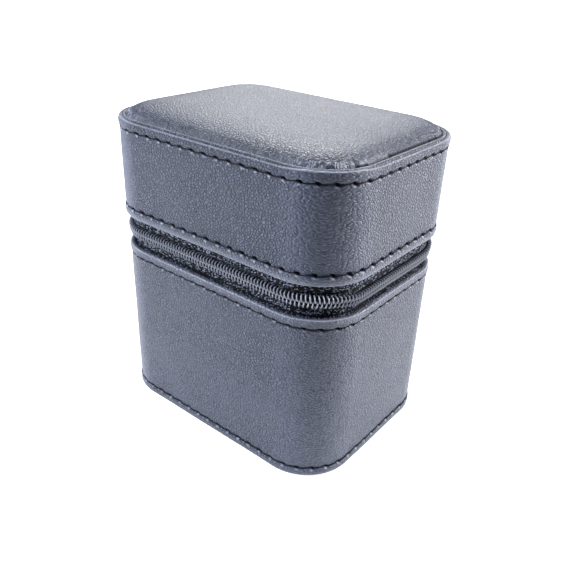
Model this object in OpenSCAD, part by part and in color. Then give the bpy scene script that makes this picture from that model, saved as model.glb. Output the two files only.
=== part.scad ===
// Zipped travel case for one watch: a leather-covered base and lid, joined at the back by a
// leather hinge strip and closed round the other three sides by a coil zip, with a lift-out
// pillow inside. +X is the right-hand end, -Y the front and +Z up; the origin is the middle of
// the face that the case stands on. "Inset" means a distance inwards from an outline.

/* [Case] */
// Length of the base along X, over its leather
base_w = 97.5; // [80:0.5:140]
// Depth of the base along Y, over its leather
base_d = 73.5; // [64:0.5:110]
// Radius of the base's upright corners, over its leather
corner_r = 18; // [17:0.5:24]
// Height of the base's side wall, edge to edge
base_h = 60.9; // [45:0.1:90]
// Height of the zip that shows between the base's edge and the lid's edge
zip_gap = 11.6; // [10.5:0.1:14]
// Height of the lid's side wall, edge to edge
lid_h = 33.6; // [28:0.1:60]
// How far the lid's wall stands out past the base's wall, all round
lid_overhang = 0.5; // [0.3:0.1:1]

/* [Leather] */
// Thickness of the base's side leather
leather_t = 1.0; // [0.8:0.1:1.4]
// Thickness of the skived leather where an edge is turned in
hem_t = 0.8; // [0.6:0.1:1]
// Depth of a turned-in edge
hem_h = 8.0; // [7:0.5:9]
// Thickness of the panel under the base
bottom_t = 1.0; // [0.6:0.1:1.5]
// How far the bottom panel stands down past the side leather's edge
bottom_stand = 0.3; // [0.2:0.1:0.6]
// Inset of the bottom panel's edge
bottom_inset = 2.3; // [2:0.1:5]

/* [Boards] */
// Thickness of the board frames behind the side leather
board_t = 2.8; // [2.6:0.1:4]
// Thickness of the floor board
floor_t = 2.8; // [2:0.1:4]
// Thickness of the board under the lid's cushion
lid_board_t = 2.0; // [1.5:0.1:3]
// Clearance round a board or liner that drops into another
board_fit = 0.2; // [0.1:0.05:0.4]

/* [Lining] */
// Thickness of the base's velvet-covered liner
liner_t = 2.0; // [1.5:0.1:3]
// How far the liner stands up past the base's edge, as a collar behind the zip
collar_h = 9.4; // [8:0.1:10]
// Running gap between the collar and the lid's liner
collar_gap = 0.3; // [0.3:0.1:1]
// Thickness of the lid's liner
lid_liner_t = 1.2; // [1:0.1:1.4]
// Thickness of the padded floor
floor_pad_t = 2.5; // [1.5:0.1:4]
// Thickness of the padded ceiling
ceiling_t = 2.4; // [1.5:0.1:4]

/* [Lid cushion] */
// Thickness of the cushion's leather
cushion_leather_t = 0.8; // [0.6:0.1:1]
// Height of the cushion's crown above the rim
crown_rise = 3.9; // [2:0.1:6]
// Depth of the groove between the rim and the cushion
groove_depth = 1.5; // [1.2:0.1:2]
// Distance over which the cushion rises from its edge to its crown
crown_run = 15; // [10:0.5:15]
// Exponent of the crown's curve: 1 is a plain slope, 2 an ellipse
crown_fullness = 1.6; // [1.3:0.1:2.5]
// Gap left between the foam and the leather over it
foam_fit = 0.1; // [0.05:0.05:0.3]

/* [Zip] */
// Thickness of the woven tape, and of the hinge strip that carries on from it
tape_t = 0.6; // [0.5:0.05:0.7]
// Width of one tape
tape_w = 13.0; // [12:0.1:13.2]
// Distance from the zip's centre line to the edge of each tape
tape_edge = 0.75; // [0.7:0.05:0.9]
// Pitch of the coil's turns
coil_pitch = 1.27; // [1.25:0.01:1.6]
// Thickness of one turn along the chain
coil_wire = 0.5; // [0.4:0.01:0.52]
// Width of one coil, from its back to its heads
coil_w = 2.55; // [2.4:0.05:2.8]
// Height of the coil off the tape
coil_t = 2.0; // [1.6:0.05:2.2]
// How far a turn's head reaches past the zip's centre line
head_reach = 0.45; // [0.3:0.05:0.5]
// Lean of a turn towards the closed end
coil_lean = 8; // [0:1:12]
// How far the tapes run into each rear corner, as an angle; the coils start there on the right
zip_start = 50; // [40:1:60]
// Gap between the ends of the tapes and the hinge strip
strip_gap = 0.3; // [0.2:0.1:0.6]
// Thickness of the fabric glued behind the hinge strip
hinge_lining_t = 0.5; // [0.3:0.05:0.6]
// Length of the end stops along the chain
stop_l = 1.6; // [1:0.1:1.8]

/* [Slider] */
// Length of the slider along the chain
slider_l = 9.0; // [8:0.1:9.5]
// Width of the slider's nose
nose_w = 7.8; // [7.2:0.1:8.4]
// Width of the slider's tail
tail_w = 6.2; // [6:0.1:6.6]
// Thickness of the slider's front and back plates
slider_plate_t = 0.85; // [0.7:0.05:1]
// Thickness of the flanges that hold the coils in
flange_t = 0.7; // [0.6:0.05:0.75]
// Running clearance between the slider and the chain
slider_fit = 0.25; // [0.2:0.05:0.3]
// Size of the plates' cut corners
plate_corner = 0.9; // [0.6:0.1:1.2]
// Thickness of the neck that joins the two plates between the tapes
neck_t = 1.1; // [0.8:0.1:1.2]
// Length of the neck along the chain
neck_l = 1.3; // [1:0.1:1.6]
// Length of the wedge that parts the coils, from its tip to the neck
wedge_l = 2.05; // [1.6:0.05:2.4]
// Width of the bail over the front plate
bail_w = 1.6; // [1.2:0.1:2]
// Thickness of the bail's bar
bail_t = 0.9; // [0.7:0.1:1.2]
// Length of the window under the bail
bail_window = 3.0; // [2.4:0.1:3.4]
// Diameter of the pull tab's pin
pin_d = 1.0; // [0.8:0.1:1.2]
// Clearance round the pin in the bail
pin_fit = 0.2; // [0.15:0.05:0.3]

/* [Pull tab] */
// Length of the pull tab from its pin to its tip
pull_l = 24; // [18:0.5:28]
// Width of the pull tab
pull_w = 6.4; // [5.6:0.1:7]
// Thickness of the pull tab
pull_t = 1.0; // [0.8:0.1:1]
// Width of the arms on each side of the bail
arm_w = 1.0; // [0.8:0.1:1.2]
// Diameter of the hole in the tab's tip
pull_hole_d = 2.6; // [2:0.1:3.2]

/* [Pillow] */
// Space for the wristband between the pillow and the liner, front and back
strap_space = 6.75; // [5:0.25:10]
// Height of the pillow, a closed wristband's loop when rounded
pillow_h = 66; // [52:0.5:68]
// Radius of the pillow's long edges
pillow_r = 21; // [15:0.5:24]
// Gap between the pillow's ends and the liner's rounded corners
pillow_end_gap = 0.8; // [0.5:0.1:3]
// Thickness of the pillow's cover
pillow_cover_t = 1.2; // [0.8:0.1:2]
// Gap between the pillow and the padded floor
pillow_seat_gap = 0.3; // [0.2:0.1:0.5]

/* [Hidden] */
$fn = 64;
eps = 0.01;

// Heights
base_z0 = bottom_stand;
base_z1 = base_z0 + base_h;
lid_z0 = base_z1 + zip_gap;
lid_z1 = lid_z0 + lid_h;
zip_z = (base_z1 + lid_z0) / 2;
crown_z = lid_z1 + crown_rise;
floor_z = bottom_t + floor_t;
pad_z = floor_z + floor_pad_t;
collar_z = base_z1 + collar_h;

// The lid's outline and its walls
lid_w = base_w + 2 * lid_overhang;
lid_d = base_d + 2 * lid_overhang;
lid_r = corner_r + lid_overhang;
lid_leather_t = leather_t + lid_overhang;

// Insets of the base's layers, from its outline
tape_i = leather_t + hem_t;
strip_back_i = tape_i + tape_t;
frame_i = leather_t + board_t;
liner_i = frame_i + board_fit;
cavity_i = liner_i + liner_t;

// Insets of the lid's layers, from its own outline
rim_i = lid_leather_t + hem_t;
lid_tape_back_i = rim_i + tape_t;
lid_frame_i = lid_leather_t + board_t;
lid_liner_i = lid_frame_i + board_fit;
lid_cavity_i = lid_liner_i + lid_liner_t;
flange_i = rim_i + cushion_leather_t;

// The frames stop just short of the rolled leather edges
frame_end = hem_t;
lid_frame_z0 = lid_z0 + frame_end;
base_frame_z1 = base_z1 - frame_end;

// The lid's cushion: its groove, its flange and the board under it
groove_z = lid_z1 - groove_depth;
flange_z = lid_z1 - hem_h;
lid_board_z1 = groove_z - cushion_leather_t - lid_board_t;
lid_board_z0 = lid_board_z1 - lid_board_t;

// The zip's chain runs at mid coil height, on a path inset from the base's outline
chain_i = tape_i - coil_t / 2;
chain_r = corner_r - chain_i;
side_l = base_d - 2 * corner_r;
front_l = base_w - 2 * corner_r;
start_l = chain_r * zip_start * PI / 180;
corner_l = chain_r * PI / 2;
slider_y = side_l / 2 - stop_l - 2 * slider_fit - slider_l / 2;
neck_x = slider_l / 2 - flange_t - neck_l;
wedge_tip = neck_x - wedge_l;
chain_end_y = slider_y + wedge_tip - coil_pitch;
legs = [start_l, side_l, corner_l, front_l, corner_l, side_l / 2 + chain_end_y];
chain_turns = floor(sum_to(legs, len(legs)) / coil_pitch);

// The slider's own heights, measured outwards from the base's outline
plate_in = coil_t - tape_i + slider_fit;
plate_out = plate_in + slider_plate_t;
flange_end = slider_fit - tape_i;
back_out = -strip_back_i - slider_fit;
back_in = back_out - slider_plate_t;
pin_z = plate_out + pin_fit + pin_d / 2;
bail_top = pin_z + pin_d / 2 + pin_fit + bail_t;

// The pillow, which ends where its front and back edges would reach the liner's rounded corners
cavity_r = corner_r - cavity_i;
pillow_t = base_d - 2 * cavity_i - 2 * strap_space;
pillow_edge_r = min(pillow_r, pillow_t / 2 - eps);
corner_depth = sqrt(pow(cavity_r, 2) - pow(max(cavity_r - strap_space, 0), 2));
pillow_l = base_w - 2 * corner_r + 2 * corner_depth - 2 * pillow_end_gap;
pillow_z0 = pad_z + pillow_seat_gap;

// Sum of the first n entries of a list
function sum_to(list, n) = n == 0 ? 0 : list[n - 1] + sum_to(list, n - 1);

// Point and outward angle on the chain's path, at a distance along it from the zip's start
function chain_at(s) =
    let (hw = base_w / 2, hd = base_d / 2, r = corner_r)
    s < sum_to(legs, 1) ? on_corner(hw - r, hd - r, zip_start - degrees_along(s)) :
    s < sum_to(legs, 2) ? [hw - chain_i, hd - r - (s - sum_to(legs, 1)), 0] :
    s < sum_to(legs, 3) ? on_corner(hw - r, r - hd, -degrees_along(s - sum_to(legs, 2))) :
    s < sum_to(legs, 4) ? [hw - r - (s - sum_to(legs, 3)), chain_i - hd, -90] :
    s < sum_to(legs, 5) ? on_corner(r - hw, r - hd, -90 - degrees_along(s - sum_to(legs, 4))) :
    [chain_i - hw, r - hd + (s - sum_to(legs, 5)), -180];
function degrees_along(s) = s / chain_r * 180 / PI;
function on_corner(x, y, a) = [x + chain_r * cos(a), y + chain_r * sin(a), a];

// Points of the cushion's rise, from its edge at the groove to its crown: a superellipse
function crown_points(edge_x, run, z0, z1, steps = 12) = [
    for (k = [0:steps])
        let (t = 1 - cos(90 * k / steps))
        [edge_x - t * run, z0 + (z1 - z0) * pow(1 - pow(1 - t, crown_fullness), 1 / crown_fullness)]
];

// A rounded rectangle, centred
module outline(w, d, r) {
    square([w - 2 * r, d], center = true);
    square([w, d - 2 * r], center = true);
    for (sx = [-1, 1], sy = [-1, 1])
        translate([sx * (w / 2 - r), sy * (d / 2 - r)]) circle(r);
}

// A flat panel inset from an outline
module panel(w, d, r, inset, z0, z1) {
    translate([0, 0, z0]) linear_extrude(z1 - z0)
        outline(w - 2 * inset, d - 2 * inset, r - inset);
}

// A profile carried along one side of a rounded rectangle. The profile's X runs outwards from
// the outline and its Y is height. Sides 0 to 3 face +X, +Y, -X and -Y.
module side(w, d, r, k) {
    half = (k % 2 == 0 ? d : w) / 2 - r;
    out = (k % 2 == 0 ? w : d) / 2;
    rotate(90 * k) translate([out, half, 0])
        rotate([90, 0, 0]) linear_extrude(2 * half) children();
}

// The same profile carried round the corner that follows side k, from its start, or back from
// its far end
module bend(w, d, r, k, angle = 90, back = false) {
    sx = k == 0 || k == 3 ? 1 : -1;
    sy = k < 2 ? 1 : -1;
    translate([sx * (w / 2 - r), sy * (d / 2 - r), 0])
        rotate(back ? 90 * (k + 1) : 90 * k) mirror([0, back ? 1 : 0, 0])
            rotate_extrude(angle = angle) translate([r, 0]) children();
}

// The same profile carried all the way round
module around(w, d, r) {
    for (k = [0:3]) {
        side(w, d, r, k) children();
        bend(w, d, r, k) children();
    }
}

// A band in a profile, between two insets and two heights
module band(i0, i1, z0, z1) {
    translate([-i1, z0]) square([i1 - i0, z1 - z0]);
}

// Profile of a leather wall whose two edges are rolled over and turned in
module rolled_wall(z0, z1, t) {
    roll = (t + hem_t) / 2;
    band(0, t, z0 + roll, z1 - roll);
    band(t, t + hem_t, z0 + roll, z0 + hem_h);
    band(t, t + hem_t, z1 - hem_h, z1 - roll);
    for (z = [z0 + roll, z1 - roll])
        translate([-roll, z]) circle(roll);
}

// A solid block with a profile as its edge all round. The profile's X runs outwards from 0 at
// the centre of a corner, and the middle is filled between two heights.
module block(w, d, r, z0, z1) {
    around(w, d, r) translate([-r, 0]) children();
    translate([r - w / 2, r - d / 2, z0]) cube([w - 2 * r, d - 2 * r, z1 - z0]);
}

// The tapes' path: from the zip's start, round the front, into the rear left corner
module along_zip() {
    bend(base_w, base_d, corner_r, 0, zip_start) children();
    side(base_w, base_d, corner_r, 0) children();
    bend(base_w, base_d, corner_r, 3) children();
    side(base_w, base_d, corner_r, 3) children();
    bend(base_w, base_d, corner_r, 2) children();
    side(base_w, base_d, corner_r, 2) children();
    bend(base_w, base_d, corner_r, 1, zip_start, true) children();
}

// The hinge strip's path: the rest of the way round, across the back
module along_hinge() {
    angle = 90 - zip_start - strip_gap / (corner_r - tape_i) * 180 / PI;
    bend(base_w, base_d, corner_r, 0, angle, true) children();
    side(base_w, base_d, corner_r, 1) children();
    bend(base_w, base_d, corner_r, 1, angle) children();
}

// ---- Base ----

module bottom_panel() color("#26282c")
    panel(base_w, base_d, corner_r, bottom_inset, 0, bottom_t);

module base_floor() color("#8a7a62")
    panel(base_w, base_d, corner_r, frame_i + board_fit, bottom_t, floor_z);

// Rebated at both ends, to take the turned leather and the tape
module base_frame() color("#8a7a62")
    around(base_w, base_d, corner_r) {
        band(leather_t, frame_i, base_z0 + hem_h, base_z1 - hem_h);
        band(tape_i, frame_i, bottom_t, base_z0 + hem_h);
        band(strip_back_i, frame_i, base_z1 - hem_h, base_frame_z1);
    }

module base_leather() color("#3c4148")
    around(base_w, base_d, corner_r) rolled_wall(base_z0, base_z1, leather_t);

// Stands on the floor board; its top edge is rounded and rises as the collar
module base_liner() color("#2b2b30")
    around(base_w, base_d, corner_r) {
        band(liner_i, cavity_i, floor_z, collar_z - liner_t / 2);
        translate([-liner_i - liner_t / 2, collar_z - liner_t / 2]) circle(liner_t / 2);
    }

module floor_pad() color("#2b2b30")
    panel(base_w, base_d, corner_r, cavity_i + board_fit, floor_z, pad_z);

// ---- Hinge ----

module hinge_strip() color("#34383e")
    along_hinge() band(tape_i, strip_back_i, zip_z - tape_edge - tape_w, zip_z + tape_edge + tape_w);

// Fabric on the strip's back, in the space between the two frames
module hinge_lining() color("#1d1d20")
    along_hinge()
        band(strip_back_i, strip_back_i + hinge_lining_t,
             base_frame_z1 + strip_gap, lid_frame_z0 - strip_gap);

// ---- Zip ----

module tape_lower() color("#17181a")
    along_zip() band(tape_i, strip_back_i, zip_z - tape_edge - tape_w, zip_z - tape_edge);

module tape_upper() color("#17181a")
    along_zip() band(tape_i, strip_back_i, zip_z + tape_edge, zip_z + tape_edge + tape_w);

// One turn of the coil, flattened as the real filament is, standing on the tape with its head
// towards the zip's centre line. up is 1 for the upper coil and -1 for the lower one.
module coil_turn(up) {
    r = coil_t / 2;
    rotate([up * coil_lean, 0, 0]) rotate([90, 0, 0])
        linear_extrude(coil_wire, center = true)
            translate([0, up * (coil_w / 2 - head_reach)]) {
                square([coil_t, coil_w - coil_t], center = true);
                for (e = [-1, 1]) translate([0, e * (coil_w - coil_t) / 2]) circle(r);
            }
}

// A whole coil. The two coils are half a pitch apart, so that their heads interleave.
module coil(up) {
    for (k = [1:chain_turns - 1]) {
        p = chain_at((k + (up > 0 ? 0.5 : 0)) * coil_pitch);
        translate([p.x, p.y, zip_z]) rotate(p[2]) coil_turn(up);
    }
}

module coil_lower() color("#202124") coil(-1);

module coil_upper() color("#202124") coil(1);

// A stop clamped on the edge of one tape, at the closed end of the chain
module stop(up) {
    h = coil_w - head_reach;
    translate([-base_w / 2 + tape_i - coil_t, slider_y + slider_l / 2 + slider_fit,
               zip_z + (up > 0 ? tape_edge : -tape_edge - h)])
        cube([coil_t, stop_l, h]);
}

module stop_lower() color("#4a4b4e") stop(-1);

module stop_upper() color("#4a4b4e") stop(1);

// ---- Slider, modelled with its nose towards +X and its front plate up ----

// Stands the slider on the left side of the case, with its nose towards the closed end
module on_chain() {
    translate([-base_w / 2, slider_y, zip_z]) rotate([0, -90, 0]) rotate(90) children();
}

// Shield outline of the slider's plates: a wide nose, and a waist that narrows to the tail
module shield(inset = 0) {
    l = slider_l / 2 - inset;
    n = nose_w / 2 - inset;
    t = tail_w / 2 - inset;
    c = plate_corner;
    polygon([[-l, -t + c], [-l + c / 2, -t], [0, -t - (n - t) / 2], [l - 2 * c, -n], [l, -n + 2 * c],
             [l, n - 2 * c], [l - 2 * c, n], [0, t + (n - t) / 2], [-l + c / 2, t], [-l, t - c]]);
}

module slider_body() color("#55575b") on_chain() {
    translate([0, 0, plate_in]) linear_extrude(slider_plate_t) shield();
    translate([0, 0, back_in]) linear_extrude(slider_plate_t) shield(slider_fit);
    // Side flanges, open at the nose and the tail for the coils
    translate([0, 0, flange_end]) linear_extrude(plate_in - flange_end) difference() {
        shield();
        shield(flange_t);
        square([2 * slider_l, tail_w - 2 * flange_t], center = true);
        translate([slider_l / 2, 0]) square([2 * flange_t, nose_w - 2 * flange_t], center = true);
    }
    // Neck between the tapes, with the wedge that parts the coils
    translate([neck_x, -neck_t / 2, back_out - eps])
        cube([neck_l, neck_t, plate_in - back_out + 2 * eps]);
    translate([0, 0, flange_end]) linear_extrude(plate_in - flange_end)
        polygon([[wedge_tip, 0], [neck_x, -neck_t], [neck_x + neck_l, -neck_t],
                 [neck_x + neck_l, neck_t], [neck_x, neck_t]]);
    bail();
}

// Arch along the front plate, with a window for the pull tab's pin
module bail() {
    l = bail_window + 2 * bail_t;
    h = bail_top - plate_out;
    translate([0, bail_w / 2, plate_out]) rotate([90, 0, 0]) linear_extrude(bail_w)
        difference() {
            union() {
                translate([-l / 2, -eps]) square([l, h - bail_t + eps]);
                translate([bail_t - l / 2, 0]) square([l - 2 * bail_t, h]);
                for (e = [-1, 1])
                    translate([e * (l / 2 - bail_t), h - bail_t]) circle(bail_t);
            }
            translate([-bail_window / 2, 0]) square([bail_window, h - bail_t]);
        }
}

// Lies back over the chain, with its pin in the bail's window
module pull_tab() color("#55575b") on_chain() {
    inner = bail_w + 2 * pin_fit;
    eye = (bail_window / 2 + bail_t) + 3 * pin_fit;
    outer = inner + 2 * arm_w;
    translate([0, 0, pin_z]) {
        rotate([90, 0, 0]) cylinder(d = pin_d, h = outer, center = true);
        for (e = [-1, 1])
            translate([-eye - eps, e * (inner + arm_w) / 2 - arm_w / 2, -pull_t / 2])
                cube([eye + eps, arm_w, pull_t]);
        translate([0, 0, -pull_t / 2]) linear_extrude(pull_t) difference() {
            union() {
                polygon([[-eye, -outer / 2], [-eye, outer / 2],
                         [-eye - arm_w, pull_w / 2], [-pull_l + pull_w / 2, pull_w / 2],
                         [-pull_l + pull_w / 2, -pull_w / 2], [-eye - arm_w, -pull_w / 2]]);
                translate([-pull_l + pull_w / 2, 0]) circle(d = pull_w);
            }
            translate([-pull_l + pull_w / 2, 0]) circle(d = pull_hole_d);
        }
    }
}

// ---- Watch pillow ----

// Section of the pillow across its length: X is depth and Y is height, from its underside
module pillow_section(inset) {
    translate([0, pillow_h / 2])
        outline(pillow_t - 2 * inset, pillow_h - 2 * inset, pillow_edge_r - inset);
}

// A length of that section, centred at a place along the case
module pillow_slice(x, l, inset) {
    translate([x - l / 2, 0, pillow_z0]) rotate([90, 0, 90]) linear_extrude(l)
        pillow_section(inset);
}

module pillow_cover() color("#3a3b40") difference() {
    pillow_slice(0, pillow_l, 0);
    pillow_slice(0, pillow_l + 2 * eps, pillow_cover_t);
}

module pillow_foam() color("#d9d4c6")
    pillow_slice(0, pillow_l - 2 * pillow_cover_t - 2 * foam_fit, pillow_cover_t + foam_fit);

// The two stitched end panels
module pillow_ends() color("#3a3b40")
    for (e = [-1, 1])
        pillow_slice(e * (pillow_l - pillow_cover_t) / 2, pillow_cover_t, pillow_cover_t);

// ---- Lid ----

module lid_leather() color("#3c4148")
    around(lid_w, lid_d, lid_r) rolled_wall(lid_z0, lid_z1, lid_leather_t);

// Rebated below for the turned leather and the tape, and above for the cushion's flange
module lid_frame() color("#8a7a62")
    around(lid_w, lid_d, lid_r) {
        band(lid_leather_t, lid_frame_i, lid_z0 + hem_h, flange_z);
        band(lid_tape_back_i, lid_frame_i, lid_frame_z0, lid_z0 + hem_h);
        band(flange_i, lid_frame_i, flange_z, lid_board_z1);
    }

module lid_board() color("#8a7a62")
    panel(lid_w, lid_d, lid_r, lid_liner_i, lid_board_z0, lid_board_z1);

// Block with the cushion's crown, grown or shrunk by an inset, down to a height
module crown_block(inset, z0) {
    edge = lid_r - rim_i - inset;
    block(lid_w, lid_d, lid_r, z0, crown_z - inset)
        polygon(concat([[0, z0], [edge, z0]],
                       crown_points(edge, crown_run - inset, groove_z - inset, crown_z - inset),
                       [[0, crown_z - inset]]));
}

// Leather over the foam, gathered into the groove and sewn down behind the rim
module lid_cushion() color("#4a5058") difference() {
    crown_block(0, flange_z);
    crown_block(cushion_leather_t, flange_z - eps);
}

module lid_foam() color("#d9d4c6")
    crown_block(cushion_leather_t + foam_fit, lid_board_z1);

// Hangs behind the frame, and comes down to the collar
module lid_liner() color("#2b2b30")
    around(lid_w, lid_d, lid_r)
        band(lid_liner_i, lid_cavity_i, collar_z + collar_gap, lid_board_z0);

module lid_ceiling() color("#2b2b30")
    panel(lid_w, lid_d, lid_r, lid_cavity_i + board_fit, lid_board_z0 - ceiling_t, lid_board_z0);

bottom_panel();
base_floor();
base_frame();
base_leather();
base_liner();
floor_pad();
tape_lower();
coil_lower();
stop_lower();
hinge_strip();
hinge_lining();
slider_body();
pull_tab();
pillow_cover();
pillow_foam();
pillow_ends();
lid_leather();
lid_frame();
lid_board();
lid_foam();
lid_cushion();
lid_liner();
lid_ceiling();
tape_upper();
coil_upper();
stop_upper();
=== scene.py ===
"""Looks of a zipped travel case for one watch: pebbled leather walls with sewn seams, a coil zip,
a padded lid with a gathered edge, a leather hinge and a lift-out pillow."""

import logging
import math
from dataclasses import dataclass, field
from enum import Enum

import bmesh
import bpy
import numpy as np
from mathutils import Matrix, Vector


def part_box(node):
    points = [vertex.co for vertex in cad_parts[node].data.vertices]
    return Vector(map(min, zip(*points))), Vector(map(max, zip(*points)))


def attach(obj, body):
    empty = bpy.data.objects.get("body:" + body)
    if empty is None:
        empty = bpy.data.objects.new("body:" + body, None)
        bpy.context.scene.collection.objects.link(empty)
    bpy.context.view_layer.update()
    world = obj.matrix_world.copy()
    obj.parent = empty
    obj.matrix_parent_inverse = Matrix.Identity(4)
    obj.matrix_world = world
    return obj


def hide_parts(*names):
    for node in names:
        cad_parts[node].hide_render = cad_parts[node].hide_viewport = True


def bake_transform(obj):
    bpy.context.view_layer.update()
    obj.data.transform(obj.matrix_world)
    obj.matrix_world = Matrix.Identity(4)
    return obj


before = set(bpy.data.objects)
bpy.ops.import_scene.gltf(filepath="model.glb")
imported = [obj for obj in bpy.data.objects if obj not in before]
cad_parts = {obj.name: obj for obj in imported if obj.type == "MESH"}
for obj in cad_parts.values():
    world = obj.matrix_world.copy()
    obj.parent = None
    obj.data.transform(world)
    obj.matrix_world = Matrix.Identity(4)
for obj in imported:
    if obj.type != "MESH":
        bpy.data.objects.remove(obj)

Array = np.ndarray
Colour = tuple[float, float, float]
MM = 0.001
CUT = "cut"
MARK = "mark"
SHARP = math.radians(50)
WHITE: Colour = (1.0, 1.0, 1.0)
log = logging.getLogger("travel_case")


class Body(Enum):
    """The bodies that pieces ride on."""

    BASE = "base"
    LID = "lid"
    SLIDER = "slider"
    PULL = "pull"
    PILLOW = "pillow"


class Slot(Enum):
    """The material slots that pieces take their finish from."""

    SIDE_LEATHER = "side_leather"
    CUSHION_LEATHER = "cushion_leather"
    HINGE_LEATHER = "hinge_leather"
    BOTTOM_LEATHER = "bottom_leather"
    BOARD = "board"
    VELVET = "velvet"
    LINING_FABRIC = "lining_fabric"
    ZIP_TAPE = "zip_tape"
    ZIP_COIL = "zip_coil"
    ZIP_METAL = "zip_metal"
    PILLOW_SUEDE = "pillow_suede"


# ---- Paths and meshes ----


def smooth(value: Array, low: float, high: float) -> Array:
    """A smooth step: 0 below low, 1 above high, with level ends in between."""
    share = np.clip((value - low) / (high - low), 0, 1)
    return share * share * (3 - 2 * share)


def bell(value: Array, width: float) -> Array:
    """A bell curve, 1 at 0, that has fallen to a third at the width."""
    return np.exp(-((value / width) ** 2))


def squared(value: Array, power: float = 0.5) -> Array:
    """A sine or cosine pressed outwards, which turns a round edge into a squarer one."""
    return np.sign(value) * np.abs(value) ** power


@dataclass(frozen=True)
class Outline:
    """A rounded rectangle, walked clockwise seen from above from the middle of the back."""

    width: float
    depth: float
    radius: float

    @property
    def half_x(self) -> float:
        """Half the straight stretch along X."""
        return self.width / 2 - self.radius

    @property
    def half_y(self) -> float:
        """Half the straight stretch along Y."""
        return self.depth / 2 - self.radius

    @property
    def corner(self) -> float:
        """Length of one rounded corner."""
        return self.radius * math.pi / 2

    @property
    def length(self) -> float:
        """Length of the whole way round."""
        return 4 * (self.half_x + self.half_y + self.corner)

    def inset(self, distance: float) -> "Outline":
        """The outline a distance inside this one."""
        return Outline(self.width - 2 * distance, self.depth - 2 * distance, self.radius - distance)

    def at(self, s: Array) -> tuple[Array, Array]:
        """Points and outward normals at distances along the outline.

        The centre of curvature and the normal's angle are both linear in the distance: the
        centre moves along the straights and the angle turns at the corners.

        Args:
            s: distances from the middle of the back, in metres.

        Returns:
            Points and unit normals, each with a last axis of X and Y.
        """
        x, y, arc = self.half_x, self.half_y, self.corner
        knots = np.cumsum([0, x, arc, 2 * y, arc, 2 * x, arc, 2 * y, arc, x])
        s = np.mod(s, self.length)
        angle = np.interp(s, knots, np.radians([90, 90, 0, 0, -90, -90, -180, -180, -270, -270]))
        centre = np.stack([np.interp(s, knots, [0, x, x, x, x, -x, -x, -x, -x, 0]),
                           np.interp(s, knots, [y, y, y, -y, -y, -y, -y, y, y, y])], -1)
        normal = np.stack([np.cos(angle), np.sin(angle)], -1)
        return centre + self.radius * normal, normal

    def corner_middle(self, k: int) -> float:
        """Distance to a corner's middle: 0 rear right, 1 front right, 2 front left, 3 rear left."""
        straights = [self.half_x, self.half_x + 2 * self.half_y, 3 * self.half_x + 2 * self.half_y,
                     3 * self.half_x + 4 * self.half_y]
        return straights[k] + (k + 0.5) * self.corner

    def around_corners(self, s: Array) -> Array:
        """How far a distance lies into a corner: 0 along the straights, 1 at a corner's middle."""
        s = np.mod(s, self.length)
        away = np.min([np.abs(s - self.corner_middle(k)) for k in range(4)], axis=0)
        return 1 - smooth(away, 0.2 * self.corner, 0.62 * self.corner)

    def locate(self, x: Array, y: Array) -> tuple[Array, Array]:
        """Where points lie against the outline.

        The inset is the distance inwards from the nearest point of the outline, and the
        distance along is that of this nearest point, the corners' angle times their radius plus
        the straights passed.

        Args:
            x: the points' X.
            y: the points' Y.

        Returns:
            The insets and the distances along the outline.
        """
        qx, qy = np.abs(x) - self.half_x, np.abs(y) - self.half_y
        outside = np.hypot(np.maximum(qx, 0), np.maximum(qy, 0))
        inset = self.radius - outside - np.minimum(np.maximum(qx, qy), 0)
        cx, cy = np.minimum(np.abs(x), self.half_x), np.clip(y, -self.half_y, self.half_y)
        dx, dy = np.abs(x) - cx, y - cy
        turned = np.arctan2(dx, dy)
        passed = np.where(dx > 0, self.half_x + self.half_y - cy,
                          np.where(dy > 0, cx, 2 * (self.half_x + self.half_y) - cx))
        half = self.radius * turned + passed
        return inset, np.where(x >= 0, half, self.length - half)

    def sweep(self, s: Array, offset: Array, z: Array) -> Array:
        """Points of a surface that follows the outline, at outward offsets and heights."""
        s, offset, z = np.broadcast_arrays(s, offset, z)
        point, normal = self.at(s)
        flat = point + offset[..., None] * normal
        return np.concatenate([flat, z[..., None]], -1)


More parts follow.
